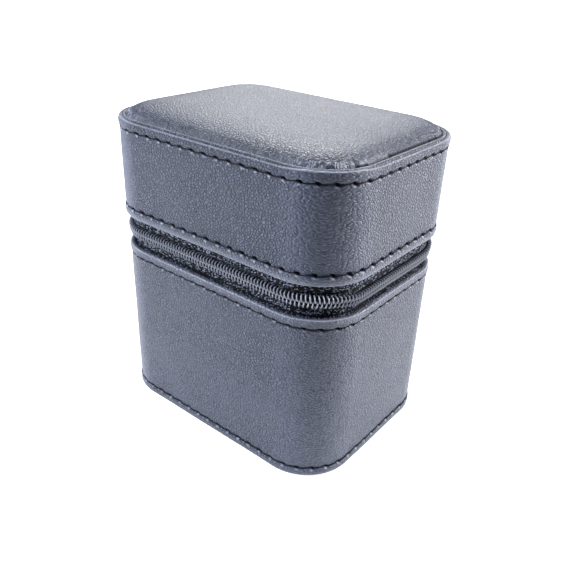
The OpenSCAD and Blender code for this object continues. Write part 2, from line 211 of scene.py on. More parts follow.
@dataclass
class Shell:
    """A mesh that is being put together: points, four-cornered faces and their places on the cut."""

    points: Array
    faces: Array
    cuts: Array
    marks: Array

    @classmethod
    def grid(cls, points: Array, u: Array, v: Array, wrap_u: bool = False, wrap_v: bool = False,
             marks: Array | None = None) -> "Shell":
        """A surface from a grid of points.

        Args:
            points: the grid, of shape (along u, along v, 3), in metres.
            u: the cut's first coordinate at each step, with one more value where u wraps.
            v: the cut's second coordinate, in the same way.
            wrap_u: whether the last row joins the first.
            wrap_v: whether the last column joins the first.
            marks: three numbers at each point, for the finish to read.

        Returns:
            The surface.
        """
        nu, nv = points.shape[:2]
        i, j = np.meshgrid(np.arange(nu if wrap_u else nu - 1), np.arange(nv if wrap_v else nv - 1),
                           indexing="ij")
        steps = [(i, j), (i, j + 1), (i + 1, j + 1), (i + 1, j)]
        faces = np.stack([(a % nu) * nv + b % nv for a, b in steps], -1).reshape(-1, 4)
        cuts = np.stack([np.stack([u[a], v[b]], -1) for a, b in steps], -2).reshape(-1, 4, 2)
        spread = np.array(np.broadcast_to(np.zeros(3) if marks is None else marks, (nu, nv, 3)))
        return cls(points.reshape(-1, 3), faces, cuts, spread.reshape(-1, 3))

    @classmethod
    def joined(cls, shells: list["Shell"]) -> "Shell":
        """Several surfaces as one mesh."""
        starts = np.cumsum([0] + [len(s.points) for s in shells[:-1]])
        return cls(np.concatenate([s.points for s in shells]),
                   np.concatenate([s.faces + start for s, start in zip(shells, starts)]),
                   np.concatenate([s.cuts for s in shells]),
                   np.concatenate([s.marks for s in shells]))

    def facing_out(self) -> "Shell":
        """The same surface with its faces pointing outwards, as a positive volume shows."""
        a, b, c, d = (self.points[self.faces[:, k]] for k in range(4))
        volume = np.einsum("ij,ij->", a, np.cross(b, c) + np.cross(c, d))
        if volume < 0:
            return Shell(self.points, self.faces[:, ::-1], self.cuts[:, ::-1], self.marks)
        return self

    def build(self, name: str, finish: bpy.types.Material, merge: bool = False) -> bpy.types.Object:
        """Makes the mesh and its object.

        Args:
            name: the piece's name.
            finish: its material.
            merge: whether to merge points that coincide, such as a closed pole's.

        Returns:
            The object, at the origin and smooth.
        """
        mesh = bpy.data.meshes.new(name)
        mesh.from_pydata(self.points, [], self.faces)
        mesh.uv_layers.new(name=CUT).uv.foreach_set("vector", self.cuts.ravel().astype(np.float32))
        mesh.attributes.new(MARK, "FLOAT_VECTOR", "POINT")
        set_marks(mesh, self.marks)
        if merge:
            merge_points(mesh)
        return dressed(mesh, finish)


def merge_points(mesh: bpy.types.Mesh, distance: float = 0.002 * MM) -> None:
    """Merges the points of a mesh that coincide, and drops the faces that this closes up."""
    work = bmesh.new()
    work.from_mesh(mesh)
    bmesh.ops.remove_doubles(work, verts=work.verts, dist=distance)
    bmesh.ops.dissolve_degenerate(work, edges=work.edges, dist=distance)
    work.to_mesh(mesh)
    work.free()


def placed(name: str, data: bpy.types.ID) -> bpy.types.Object:
    """A new object in the scene."""
    made = bpy.data.objects.new(name, data)
    bpy.context.scene.collection.objects.link(made)
    return made


def dressed(mesh: bpy.types.Mesh, finish: bpy.types.Material) -> bpy.types.Object:
    """A new piece from a mesh: smooth but for its sharp edges, in one finish."""
    mesh.materials.clear()
    mesh.materials.append(finish)
    mesh.shade_smooth()
    mesh.set_sharp_from_angle(angle=SHARP)
    return placed(mesh.name, mesh)


def points_of(mesh: bpy.types.Mesh) -> Array:
    """A mesh's points, one row each."""
    flat = np.empty(len(mesh.vertices) * 3, np.float32)
    mesh.vertices.foreach_get("co", flat)
    return flat.reshape(-1, 3).astype(float)


def set_points(mesh: bpy.types.Mesh, points: Array) -> None:
    """Moves a mesh's points."""
    mesh.vertices.foreach_set("co", points.astype(np.float32).ravel())


def marks_of(mesh: bpy.types.Mesh) -> Array:
    """The first number that a mesh carries at each point."""
    marks = np.empty(3 * len(mesh.vertices), np.float32)
    mesh.attributes[MARK].data.foreach_get("vector", marks)
    return marks[::3].astype(float)


def set_marks(mesh: bpy.types.Mesh, marks: Array) -> None:
    """Sets the three numbers that a mesh carries at each point."""
    mesh.attributes[MARK].data.foreach_set("vector", marks.astype(np.float32).ravel())


def capped(points: Array) -> Array:
    """A grid with a ring added at each end of u, drawn together to the middle of the end ring."""
    ends = [np.broadcast_to(points[k].mean(0), points[k].shape)[None] for k in (0, -1)]
    return np.concatenate([ends[0], points, ends[1]])


def twice_at_ends(values: Array) -> Array:
    """Values with the first and the last given twice, as along a capped grid."""
    return np.concatenate([values[:1], values, values[-1:]])


def lengths(points: Array, closed: bool = False) -> Array:
    """Running length along a line of points, from 0; a closed line ends with its whole length."""
    if closed:
        points = np.concatenate([points, points[:1]])
    return np.concatenate([[0], np.cumsum(np.linalg.norm(np.diff(points, axis=0), axis=-1))])


def rounded_section(thickness: float, height: float, steps: int = 4) -> Array:
    """A thin upright rectangle's closed section with round edges, centred: X is thickness."""
    radius = 0.48 * thickness
    turn = np.linspace(0, math.pi / 2, steps + 1)
    quarter = np.stack([thickness / 2 - radius + radius * np.cos(turn),
                        height / 2 - radius + radius * np.sin(turn)], -1)
    half = np.concatenate([quarter, (quarter * [-1, 1])[::-1]])
    return np.concatenate([half, -half])


def settle(piece: bpy.types.Object, body: Body, slot: Slot, *nodes: str) -> bpy.types.Object:
    """Rides a piece on its body and hides the nodes that it stands for."""
    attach(piece, body.value)
    if nodes:
        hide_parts(*nodes)
    log.info("%s rides on %s with %d faces", piece.name, body.value, len(piece.data.polygons))
    return piece


# ---- Shader kit ----


class Value:
    """A number socket that takes part in arithmetic. Each operator adds one Math node."""

    def __init__(self, nodes: "Nodes", socket: bpy.types.NodeSocket) -> None:
        self.nodes = nodes
        self.socket = socket

    def math(self, operation: str, *operands: "Value | float") -> "Value":
        """One Math node on the given operands."""
        return self.nodes.add("ShaderNodeMath", {"operation": operation}, dict(enumerate(operands)))

    def __add__(self, other: "Value | float") -> "Value":
        """This plus another."""
        return self.math("ADD", self, other)

    __radd__ = __add__

    def __sub__(self, other: "Value | float") -> "Value":
        """This less another."""
        return self.math("SUBTRACT", self, other)

    def __rsub__(self, other: float) -> "Value":
        """A number less this."""
        return self.math("SUBTRACT", other, self)

    def __mul__(self, other: "Value | float") -> "Value":
        """This times another."""
        return self.math("MULTIPLY", self, other)

    __rmul__ = __mul__

    def step(self, low: float, high: float, start: float = 0.0, end: float = 1.0) -> "Value":
        """A smooth step from start, at low, to end, at high."""
        return self.nodes.add("ShaderNodeMapRange", {"interpolation_type": "SMOOTHSTEP"},
                              {0: self, 1: low, 2: high, 3: start, 4: end})

    def wave(self) -> "Value":
        """The sine of this, brought to run from 0 to 1."""
        return self.math("SINE", self) * 0.5 + 0.5


class Nodes:
    """The nodes of one material or world, put together from the surface back."""

    def __init__(self, owner: bpy.types.Material | bpy.types.World) -> None:
        self.owner = owner
        owner.use_nodes = True
        self.tree = owner.node_tree
        self.tree.nodes.clear()

    def add(self, kind: str, settings: dict[str, object] | None = None,
            inputs: dict[int | str, object] | None = None, output: int | str = 0) -> Value:
        """Adds one node.

        Args:
            kind: the node's type.
            settings: its own settings, set first, such as an operation.
            inputs: values or links for its sockets, by name or number.
            output: the socket to hand back.

        Returns:
            That output socket.
        """
        node = self.tree.nodes.new(kind)
        for name, setting in (settings or {}).items():
            setattr(node, name, setting)
        for key, given in (inputs or {}).items():
            if isinstance(given, Value):
                self.tree.links.new(given.socket, node.inputs[key])
            else:
                node.inputs[key].default_value = given
        return Value(self, node.outputs[output])

    def cut(self) -> Value:
        """Place on the piece's own cut, in metres."""
        return self.add("ShaderNodeUVMap", {"uv_map": CUT})

    def place(self) -> Value:
        """Place in the object's own space, in metres."""
        return self.add("ShaderNodeTexCoord", output="Object")

    def marks(self) -> tuple[Value, Value, Value]:
        """The three numbers that the mesh carries at each point."""
        return self.apart(self.add("ShaderNodeAttribute", {"attribute_name": MARK}, output="Vector"))

    def stretched(self, vector: Value, x: float, y: float, z: float = 1.0) -> Value:
        """A place scaled along each axis."""
        return self.add("ShaderNodeVectorMath", {"operation": "MULTIPLY"}, {0: vector, 1: (x, y, z)})

    def shifted(self, vector: Value, by: Value) -> Value:
        """A place moved by a vector."""
        return self.add("ShaderNodeVectorMath", {"operation": "ADD"}, {0: vector, 1: by})

    def apart(self, vector: Value) -> tuple[Value, Value, Value]:
        """The three numbers of a vector."""
        node = self.add("ShaderNodeSeparateXYZ", inputs={0: vector}).socket.node
        return Value(self, node.outputs[0]), Value(self, node.outputs[1]), Value(self, node.outputs[2])

    def noise(self, vector: Value, size: float, detail: float = 2.0, output: str = "Fac") -> Value:
        """Soft noise with features of about the given size in metres."""
        return self.add("ShaderNodeTexNoise", {}, {"Vector": vector, "Scale": 1 / size,
                                                   "Detail": detail}, output)

    def cells(self, vector: Value, size: float, feature: str = "DISTANCE_TO_EDGE",
              output: str = "Distance") -> Value:
        """Cells of about the given size in metres: the distance to their edge, or to their middle."""
        return self.add("ShaderNodeTexVoronoi", {"feature": feature},
                        {"Vector": vector, "Scale": 1 / size}, output)

    def blend(self, factor: Value | float, first: object, second: object) -> Value:
        """A colour between two, by a factor."""
        return self.add("ShaderNodeMix", {"data_type": "RGBA"}, {0: factor, 6: first, 7: second}, 2)

    def mixed(self, factor: Value, first: Value, second: Value) -> Value:
        """A shader between two, by a factor."""
        return self.add("ShaderNodeMixShader", {}, {0: factor, 1: first, 2: second})

    def added(self, first: Value, second: Value) -> Value:
        """Two shaders together."""
        return self.add("ShaderNodeAddShader", {}, {0: first, 1: second})

    def matt(self, colour: Colour) -> Value:
        """A plain matt shader."""
        return self.add("ShaderNodeBsdfDiffuse", {}, {"Color": rgba(colour)})

    def glow(self, strength: float) -> Value:
        """A shader that gives off white light."""
        return self.add("ShaderNodeEmission", {}, {"Color": rgba(WHITE), "Strength": strength})

    def bump(self, height: Value, depth: float) -> Value:
        """A normal tilted by a height of 0 to 1 that stands for a depth in metres."""
        return self.add("ShaderNodeBump", {}, {"Height": height, "Distance": depth})

    def surface(self, inputs: dict[str, object]) -> bpy.types.Material:
        """Ends the tree in one shader with the given inputs."""
        return self.ended(self.add("ShaderNodeBsdfPrincipled", {}, inputs))

    def ended(self, shader: Value, kind: str = "ShaderNodeOutputMaterial"
              ) -> bpy.types.Material | bpy.types.World:
        """Links the last shader to the output."""
        output = self.tree.nodes.new(kind)
        self.tree.links.new(shader.socket, output.inputs["Surface"])
        return self.owner


def rgba(colour: Colour, times: float = 1.0) -> tuple[float, float, float, float]:
    """A colour with an alpha of 1, made lighter or darker."""
    return tuple(min(1.0, part * times) for part in colour) + (1.0,)


# ---- Finishes ----


class Reading(Enum):
    """What a finish's pattern follows."""

    CUT = "the piece's own cut"
    PLACE = "the place in the object's space"


@dataclass(frozen=True)
class Leather:
    """Coated leather with a pressed pebble grain: domed cells between fine creases.

    Where the mesh is marked as bent, the grain draws out along the cut's first axis and lies
    flatter, and where it is marked as a needle hole it goes dark, partly the black thread and
    partly painted shade. Where its third mark is set, the grain is smoothed by rubbing and painted
    lighter, a painted highlight. A gathered leather's cut runs along and in from its edge; short
    gathers lie across this edge where the mesh is marked as a corner, painted lighter as a painted
    highlight, and it is painted darker near its edge away from the corners and where it is marked
    as sunk, both painted shade.

    Attributes:
        name: the material's name.
        colour: its mean colour.
        pebble: size of one cell.
        depth: the height that the grain stands for.
        roughness: roughness where the leather is whole.
        reading: what the grain follows.
        highlight_colour: the lighter colour painted on crests, edges, hole lips and gathers, a painted
            highlight.
        crease: colour in the creases, a painted shade.
        bent: whether the mesh is marked with bends, holes, and rubbing with its painted highlight.
        gather: width of one gather, or None for leather that is not gathered.
        lie: how far the cells are stretched along the cut and across it.
        drawn_lie: the same where the leather is bent.
    """

    name: str
    colour: Colour
    pebble: float = 0.95 * MM
    depth: float = 0.5 * MM
    roughness: float = 0.48
    reading: Reading = Reading.CUT
    highlight_colour: Colour = (0.45, 0.47, 0.53)
    crease: Colour = (0.004, 0.009, 0.024)
    bent: bool = False
    gather: float | None = None
    lie: tuple[float, float] = (1.15, 0.9)
    drawn_lie: tuple[float, float] = (1.9, 0.8)

    def grain(self, n: Nodes, place: Value, along: float, across: float) -> Value:
        """Height of the grain, from 0 in a crease to 1, with the cells stretched by two factors."""
        drift = n.noise(place, 1.9 * MM, 1.0, "Color")
        warped = n.shifted(place, n.stretched(drift, 0.9 * MM, 0.9 * MM, 0.9 * MM))
        drawn = n.stretched(warped, 1 / along, 1 / across)
        pebbles = n.cells(drawn, self.pebble)
        small = n.cells(drawn, 0.47 * self.pebble)
        broken = n.noise(place, 2.6 * MM, 1.0).step(0.3, 0.6)
        return (pebbles.step(0.0, 0.28) * 0.65 + pebbles.step(0.05, 0.55) * 0.2
                + small.step(0.0, 0.3) * broken * 0.15)

    def gathers(self, n: Nodes, size: float) -> tuple[Value, Value]:
        """The gathers along an edge: a sine of the distance along, strayed and broken up by noise.

        Args:
            n: the material's nodes.
            size: the width of one gather, in metres.

        Returns:
            How high a place lies on a gather, from 0 to 1, and how far in from the edge it is.
        """
        along, inset, _ = n.apart(n.cut())
        _, corner, _ = n.marks()
        stray = n.noise(n.stretched(n.cut(), 1.0, 0.6), 1.1 * MM, 2.0)
        some = n.noise(n.cut(), 1.7 * MM, 1.0).step(0.35, 0.6)
        lines = ((along + stray * (4 * size)) * (2 * math.pi / size)).wave() * some
        near = (1 - inset.step(1.0 * MM, 2.2 * MM)) * (corner * 0.9 + 0.1)
        return lines * near, inset

    def material(self) -> bpy.types.Material:
        """The finish as a material."""
        n = Nodes(bpy.data.materials.new(self.name))
        place = n.cut() if self.reading is Reading.CUT else n.place()
        height = self.grain(n, place, *self.lie)
        fine = n.noise(place, 0.2 * MM, 2.0)
        rough: Value | float = self.roughness
        if self.bent:
            bend, hole, worn = n.marks()
            drawn = self.grain(n, place, *self.drawn_lie) * 0.52 + 0.32
            height = height * (1 - bend) + drawn * bend
            height = height * (1 - worn * 0.7) + worn * 0.6
            rough = rough + hole * 0.4 + worn * 0.3
        height = height + fine * 0.22
        if self.gather is not None:
            gathers, inset = self.gathers(n, self.gather)
            height = height + gathers * 1.1
        # Painted shade and light of the grain: creases near black, domes lighter than the mean colour.
        tone = n.blend(height.step(0.2, 0.74), rgba(self.crease), rgba(self.colour, 1.5))
        patch = n.noise(place, 14 * MM, 3.0)
        tone = n.blend(patch.step(0.35, 0.7) * 0.3, tone, rgba(self.colour, 1.2))
        if self.gather is not None:
            _, corner, sunk = n.marks()
            # Painted shade near the edge, away from the corners, where the cushion slopes down into the
            # rim.
            foot = (1 - inset.step(0.5 * MM, 4.0 * MM)) * (1 - corner)
            tone = n.blend(foot * 0.4, tone, rgba(self.colour, 0.3))
            # Painted highlight on the gathers.
            tone = n.blend(gathers * 0.8, tone, rgba(self.highlight_colour))
            # Painted shade in the groove, where the mesh is marked as sunk.
            tone = n.blend(sunk.step(0.3, 0.8) * 0.9, tone, rgba(self.colour, 0.1))
            rough = rough + sunk * 0.7
        if self.bent:
            # Painted highlight where the third mark is set: crests, edges and the lips below the holes.
            tone = n.blend(worn, tone, rgba(self.highlight_colour))
            # Needle holes painted dark: partly the black thread, partly painted shade.
            tone = n.blend(hole.step(0.25, 0.7), tone, rgba(self.colour, 0.06))
        return n.surface({"Base Color": tone,
                          "Roughness": rough,
                          "Specular IOR Level": 0.5,
                          "Normal": n.bump(height, self.depth)})


@dataclass(frozen=True)
class Thread:
    """Waxed black thread: plies that lie slantwise across it."""

    name: str
    colour: Colour = (0.005, 0.005, 0.008)

    def material(self) -> bpy.types.Material:
        """The finish as a material."""
        n = Nodes(bpy.data.materials.new(self.name))
        along, across, _ = n.apart(n.cut())
        ply = (along * (2 * math.pi / (0.5 * MM)) + across * (2 * math.pi / (0.6 * MM))).wave()
        return n.surface({"Base Color": n.blend(ply, rgba(self.colour), rgba(self.colour, 2.2)),
                          "Roughness": 0.7,
                          "Specular IOR Level": 0.12,
                          "Normal": n.bump(ply, 0.08 * MM)})


@dataclass(frozen=True)
class Tape:
    """Woven zip tape: near-black floats in slanting rows with fuzz; the tops of some floats are painted
    bright as painted glints, left out in the crevices as painted shade.
    """

    name: str
    colour: Colour = (0.018, 0.02, 0.026)
    yarn: float = 0.55 * MM

    def material(self) -> bpy.types.Material:
        """The finish as a material."""
        n = Nodes(bpy.data.materials.new(self.name))
        cut = n.cut()
        drift = n.noise(cut, 0.9 * MM, 2.0, "Color")
        loose = n.shifted(cut, n.stretched(drift, 0.3 * MM, 0.3 * MM, 0.3 * MM))
        floats = n.stretched(loose, 0.8, 1.25)
        mound = 1 - n.cells(floats, self.yarn, "F1").step(0.1, 0.75)
        shade, _, _ = n.apart(n.cells(floats, self.yarn, "F1", "Color"))
        along, up, _ = n.apart(loose)
        twill = ((along + up) * (2 * math.pi / (2 * self.yarn))).wave()
        fuzz = n.noise(cut, 0.18 * MM, 3.0)
        height = mound * 0.6 + twill * 0.3 + fuzz * 0.35
        sunk, _, _ = n.marks()
        # Painted glints on the tops of some floats, left out where the tape is marked as sunk: painted
        # shade in the crevices.
        painted_glints = mound.step(0.0, 0.6) * shade.step(0.4, 0.75) * (1 - sunk)
        tone = n.blend(painted_glints, rgba(self.colour, 0.2), rgba(self.colour, 13.0))
        return n.surface({"Base Color": tone,
                          "Roughness": 0.8,
                          "Specular IOR Level": 0.12,
                          "Normal": n.bump(height, 0.3 * MM)})


@dataclass(frozen=True)
class Nylon:
    """Satin filament, drawn lengthwise; its light grey is a painted highlight for a black filament's sheen,
    and it is painted near black where it is marked as lying against the tape, a painted shade.
    """

    name: str
    # Light grey on a black filament: a painted highlight.
    colour: Colour = (0.27, 0.29, 0.34)
    roughness: float = 0.22

    def material(self) -> bpy.types.Material:
        """The finish as a material."""
        n = Nodes(bpy.data.materials.new(self.name))
        drawn = n.noise(n.stretched(n.cut(), 0.15, 1.0), 0.12 * MM, 2.0)
        back, _, _ = n.marks()
        tone = n.blend(drawn, rgba(self.colour, 0.7), rgba(self.colour, 1.4))
        # Painted shade on the back half of each turn, against the tape.
        return n.surface({"Base Color": n.blend(back, tone, rgba(self.colour, 0.04)),
                          "Roughness": drawn * 0.16 + self.roughness,
                          "Normal": n.bump(drawn, 0.02 * MM)})


@dataclass(frozen=True)
class Lacquer:
    """Black lacquer on cast zinc, a little brighter where rubbing has thinned it."""

    name: str
    colour: Colour = (0.022, 0.022, 0.025)
    worn: Colour = (0.16, 0.16, 0.17)

    def material(self) -> bpy.types.Material:
        """The finish as a material."""
        n = Nodes(bpy.data.materials.new(self.name))
        place = n.place()
        rub = n.noise(place, 1.6 * MM, 4.0).step(0.52, 0.8)
        skin = n.noise(place, 0.5 * MM, 2.0)
        return n.surface({"Base Color": n.blend(rub * 0.35, rgba(self.colour), rgba(self.worn)),
                          "Metallic": rub * 0.5 + 0.35,
                          "Roughness": skin * 0.14 + 0.26,
                          "Normal": n.bump(skin, 0.03 * MM)})


@dataclass(frozen=True)
class Pile:
    """Short pile, such as velvet or suede: brushed patches over a fine nap."""

    name: str
    colour: Colour
    nap: float = 0.3 * MM
    sheen: float = 0.5

    def material(self) -> bpy.types.Material:
        """The finish as a material."""
        n = Nodes(bpy.data.materials.new(self.name))
        place = n.place()
        brushed = n.noise(n.stretched(place, 1.0, 1.0, 0.45), 7 * MM, 3.0).step(0.35, 0.68)
        nap = n.noise(place, self.nap, 3.0)
        tone = n.blend(brushed * 0.7 + nap * 0.3, rgba(self.colour, 0.7), rgba(self.colour, 1.45))
        return n.surface({"Base Color": tone, "Roughness": nap * 0.1 + 0.85,
                          "Sheen Weight": self.sheen, "Sheen Roughness": 0.4,
                          "Specular IOR Level": 0.25,
                          "Normal": n.bump(nap, 0.12 * MM)})


@dataclass(frozen=True)
class PlainWeave:
    """Plain woven lining."""

    name: str
    colour: Colour = (0.022, 0.022, 0.026)
    yarn: float = 0.5 * MM

    def material(self) -> bpy.types.Material:
        """The finish as a material."""
        n = Nodes(bpy.data.materials.new(self.name))
        along, up, _ = n.apart(n.cut())
        warp = (along * (2 * math.pi / self.yarn)).wave()
        weft = (up * (2 * math.pi / self.yarn)).wave()
        weave = warp * (1 - weft) + weft * (1 - warp)
        return n.surface({"Base Color": n.blend(weave, rgba(self.colour, 0.6), rgba(self.colour, 1.9)),
                          "Roughness": 0.82,
                          "Normal": n.bump(weave, 0.1 * MM)})


@dataclass(frozen=True)
class Board:
    """Pressed grey board with loose fibres."""

    name: str
    colour: Colour = (0.3, 0.27, 0.22)

    def material(self) -> bpy.types.Material:
        """The finish as a material."""
        n = Nodes(bpy.data.materials.new(self.name))
        place = n.place()
        fibre = n.noise(n.stretched(place, 1.0, 0.3, 1.0), 0.6 * MM, 4.0)
        fleck = n.noise(place, 2.5 * MM, 3.0).step(0.58, 0.7)
        tone = n.blend(fleck * 0.4 + fibre * 0.3, rgba(self.colour), rgba(self.colour, 0.55))
        return n.surface({"Base Color": tone, "Roughness": fibre * 0.1 + 0.8,
                          "Normal": n.bump(fibre, 0.08 * MM)})


GREY_BLUE: Colour = (0.045, 0.055, 0.086)


@dataclass(frozen=True)
class Finishes:
    """Every finish of the case, made once."""

    wall: bpy.types.Material
    cushion: bpy.types.Material
    hinge: bpy.types.Material
    bottom: bpy.types.Material
    thread: bpy.types.Material
    tape: bpy.types.Material
    coil: bpy.types.Material
    metal: bpy.types.Material
    velvet: bpy.types.Material
    lining: bpy.types.Material
    suede: bpy.types.Material
    board: bpy.types.Material

    @classmethod
    def made(cls) -> "Finishes":
        """Makes the materials."""
        dark = tuple(part * 0.7 for part in GREY_BLUE)
        return cls(wall=Leather("pebbled_leather", GREY_BLUE, bent=True).material(),
                   cushion=Leather("cushion_leather", GREY_BLUE, depth=0.15 * MM, roughness=0.47,
                                   reading=Reading.PLACE, gather=0.8 * MM).material(),
                   hinge=Leather("hinge_leather", dark, pebble=0.8 * MM).material(),
                   bottom=Leather("bottom_leather", dark, reading=Reading.PLACE).material(),
                   thread=Thread("waxed_thread").material(),
                   tape=Tape("woven_tape").material(),
                   coil=Nylon("nylon_filament").material(),
                   metal=Lacquer("black_lacquer").material(),
                   velvet=Pile("velvet", (0.022, 0.022, 0.03)).material(),
                   lining=PlainWeave("lining_weave").material(),
                   suede=Pile("suede", (0.06, 0.061, 0.07), nap=0.22 * MM, sheen=0.25).material(),
                   board=Board("pressed_board").material())


# ---- Sizes of the case, from the frame ----


@dataclass(frozen=True)
class Layout:
    """Outlines and heights that several sub-assemblies share."""

    base: Outline
    lid: Outline
    base_z: tuple[float, float]
    lid_z: tuple[float, float]
    zip_z: float

    @classmethod
    def from_frame(cls, base_radius: float = 18 * MM) -> "Layout":
        """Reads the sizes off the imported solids; only the corners' radius is given."""
        low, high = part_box("base_leather")
        lid_low, lid_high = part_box("lid_leather")
        overhang = lid_high.x - high.x
        return cls(base=Outline(high.x - low.x, high.y - low.y, base_radius),
                   lid=Outline(lid_high.x - lid_low.x, lid_high.y - lid_low.y, base_radius + overhang),
                   base_z=(low.z, high.z), lid_z=(lid_low.z, lid_high.z),
                   zip_z=(high.z + lid_low.z) / 2)


# ---- Leather walls and their seams ----


@dataclass(frozen=True)
class Seam:
    """One row of stitches round a wall."""

    z: float
    stitches: int
    phase: float
    pitch_drop: float = 0.5 * MM


@dataclass
class LeatherWall:
    """A leather wall with both edges rolled over and turned in, sewn along each edge.

    Attributes:
        name: the body's name, which its pieces' names start with.
        outline: the wall's outer face.
        z: heights of its two edges.
        thickness: the leather's thickness.
        seams: the lower and the upper row of stitches.
        hem_thickness: thickness of what is turned in.
        hem_height: how far it is turned in.
        groove: depth of the line that a row presses in.
        groove_width: half its width.
        pit: depth of a needle hole.
        pit_length: half its length.
        pit_height: half its height.
        slant: how far a hole leans, as a share of its height.
        funnel: how deep the leather is drawn in round a hole.
        draw: how deep it is drawn in along a row, on the side away from the edge.
        lip: height of the lip below a hole.
        dive: how far the thread dives into a hole.
        swell: how far the leather stands out between a row and the edge.
        sway: how far it wanders in and out.
        thread_radius: the thread's radius.
        column: distance between the grid's columns.
        worn: how far the leather is smoothed by rubbing and painted lighter at its lower and its upper
            edge, from 0 to 1: wear and a painted highlight.
        crest_worn: how far the crests are smoothed by rubbing and painted lighter: wear and a painted
            highlight.
        sag: how far the top edge sinks along the straights.
        bend: how far the corners are marked as bent.
        lip_worn: how far the lips below the holes are painted lighter, a painted highlight.
        beads: radii of an outer and an inner bead, in place of one roll along the top.
        bead_drop: how much lower the outer bead lies.
    """

    name: str
    outline: Outline
    z: tuple[float, float]
    thickness: float
    seams: tuple[Seam, Seam]
    hem_thickness: float = 0.8 * MM
    hem_height: float = 8 * MM
    groove: float = 0.2 * MM
    groove_width: float = 0.42 * MM
    pit: float = 1.1 * MM
    pit_length: float = 0.62 * MM
    pit_height: float = 0.52 * MM
    slant: float = 0.55
    funnel: float = 0.1 * MM
    draw: float = 0.1 * MM
    lip: float = 0.16 * MM
    dive: float = 0.8 * MM
    swell: float = 0.34 * MM
    sway: float = 0.09 * MM
    thread_radius: float = 0.19 * MM
    column: float = 0.32 * MM
    worn: tuple[float, float] = (0.0, 0.0)
    crest_worn: float = 0.5
    sag: float = 0.25 * MM
    bend: float = 1.0
    lip_worn: float = 1.0
    beads: tuple[float, float] | None = None
    bead_drop: float = 0.1 * MM

    @classmethod
    def of_base(cls, layout: Layout) -> "LeatherWall":
        """The base's wall."""
        return cls("base", layout.base, layout.base_z, 1.0 * MM,
                   (Seam(3.5 * MM, 62, 0.2 * MM), Seam(58.0 * MM, 62, 0.47 * MM)),
                   thread_radius=0.23 * MM, worn=(0.0, 0.17), bend=0.5, lip_worn=0.6)

    @classmethod
    def of_lid(cls, layout: Layout) -> "LeatherWall":
        """The lid's wall, thicker and softer, with two beads side by side round its top."""
        low, high = layout.lid_z
        return cls("lid", layout.lid, (low - 0.25 * MM, high), 1.5 * MM,
                   (Seam(76.0 * MM, 62, -1.54 * MM), Seam(102.8 * MM, 63, 1.05 * MM)),
                   groove=0.13 * MM, pit_length=0.72 * MM, pit_height=0.6 * MM,
                   thread_radius=0.17 * MM, worn=(0.26, 0.0), sag=0.4 * MM,
                   beads=(0.66 * MM, 0.46 * MM))

    @property
    def roll(self) -> float:
        """Radius of a rolled edge."""
        return (self.thickness + self.hem_thickness) / 2

    def face_heights(self) -> Array:
        """Heights of the grid's rows up the outer face, closer together at the seams."""
        low, high = self.z[0] + self.roll, self.z[1] - self.roll
        dense = np.linspace(low, high, 4000)
        nearest = np.min([np.abs(dense - seam.z) for seam in self.seams], axis=0)
        spacing = 0.2 * MM + 1.5 * MM * smooth(nearest, 0.8 * MM, 4 * MM)
        rows = np.concatenate([[0], np.cumsum((1 / spacing[1:]) * np.diff(dense))])
        return np.interp(np.linspace(0, rows[-1], int(rows[-1]) + 2), rows, dense)

    def top_edge(self, high: float) -> tuple[Array, Array, Array]:
        """The top edge: one roll, or an inner bead and a lower outer one side by side.

        Args:
            high: the wall's top.

        Returns:
            Points from the outer face over to the inner one, how much each faces outwards, and how
            much it lies on a crest.
        """
        roll = self.roll
        if self.beads is None:
            turn = np.linspace(0, math.pi, 15)[1:-1]
            edge = np.stack([roll * (squared(np.cos(turn)) - 1),
                             high - roll + roll * squared(np.sin(turn))], -1)
            return edge, np.cos(turn).clip(0), bell(turn - 0.85, 0.35)
        outer, inner = self.beads
        first, second = np.linspace(0, math.radians(158), 14)[1:], np.linspace(0.1, math.pi, 12)[:-1]
        outer_z, inner_z = high - outer - self.bead_drop, high - inner
        over = np.stack([outer * (np.cos(first) - 1), outer_z + outer * np.sin(first)], -1)
        back = np.stack([inner * (np.cos(second) + 1) - 2 * roll, inner_z + inner * np.sin(second)], -1)
        return (np.concatenate([over, back]), np.concatenate([np.cos(first).clip(0), 0 * second]),
                np.concatenate([bell(first - 0.85, 0.35), 0.7 * bell(second - 0.9, 0.5)]))

    def section(self) -> tuple[Array, Array, Array]:
        """The wall's closed section, from the foot of the outer face up and round.

        Returns:
            Points of outward offset and height, how much each faces outwards, and how much it lies
            on a crest.
        """
        (low, high), roll, face = self.z, self.roll, self.face_heights()
        foot_turn = np.linspace(0, math.pi, 15)[1:-1]
        hem, skin = -2 * roll, -self.thickness
        top, top_facing, top_crest = self.top_edge(high)
        foot = np.stack([-roll * (squared(np.cos(foot_turn)) + 1),
                         low + roll - roll * squared(np.sin(foot_turn))], -1)
        inner = np.array([[hem, high - roll], [hem, high - self.hem_height],
                          [skin, high - self.hem_height], [skin, low + self.hem_height],
                          [hem, low + self.hem_height], [hem, low + roll]])
        outer = np.stack([np.zeros(len(face)), face], -1)
        rest = np.zeros(len(inner))
        facing = np.concatenate([np.ones(len(face)), top_facing, rest, np.cos(foot_turn).clip(0)[::-1]])
        crest = np.concatenate([np.zeros(len(face)), top_crest, rest, bell(foot_turn - 0.85, 0.35)[::-1]])
        return np.concatenate([outer, top, inner, foot]), facing, crest

    def to_hole(self, seam: Seam, s: Array) -> Array:
        """Signed distance along the row to the nearest needle hole."""
        pitch = self.outline.length / seam.stitches
        return np.mod(s - seam.phase + pitch / 2, pitch) - pitch / 2

    def groove_depth(self, seam: Seam, z: Array) -> Array:
        """Depth of the line that a row of stitches presses into the leather."""
        return self.groove * bell(z - seam.z, self.groove_width)

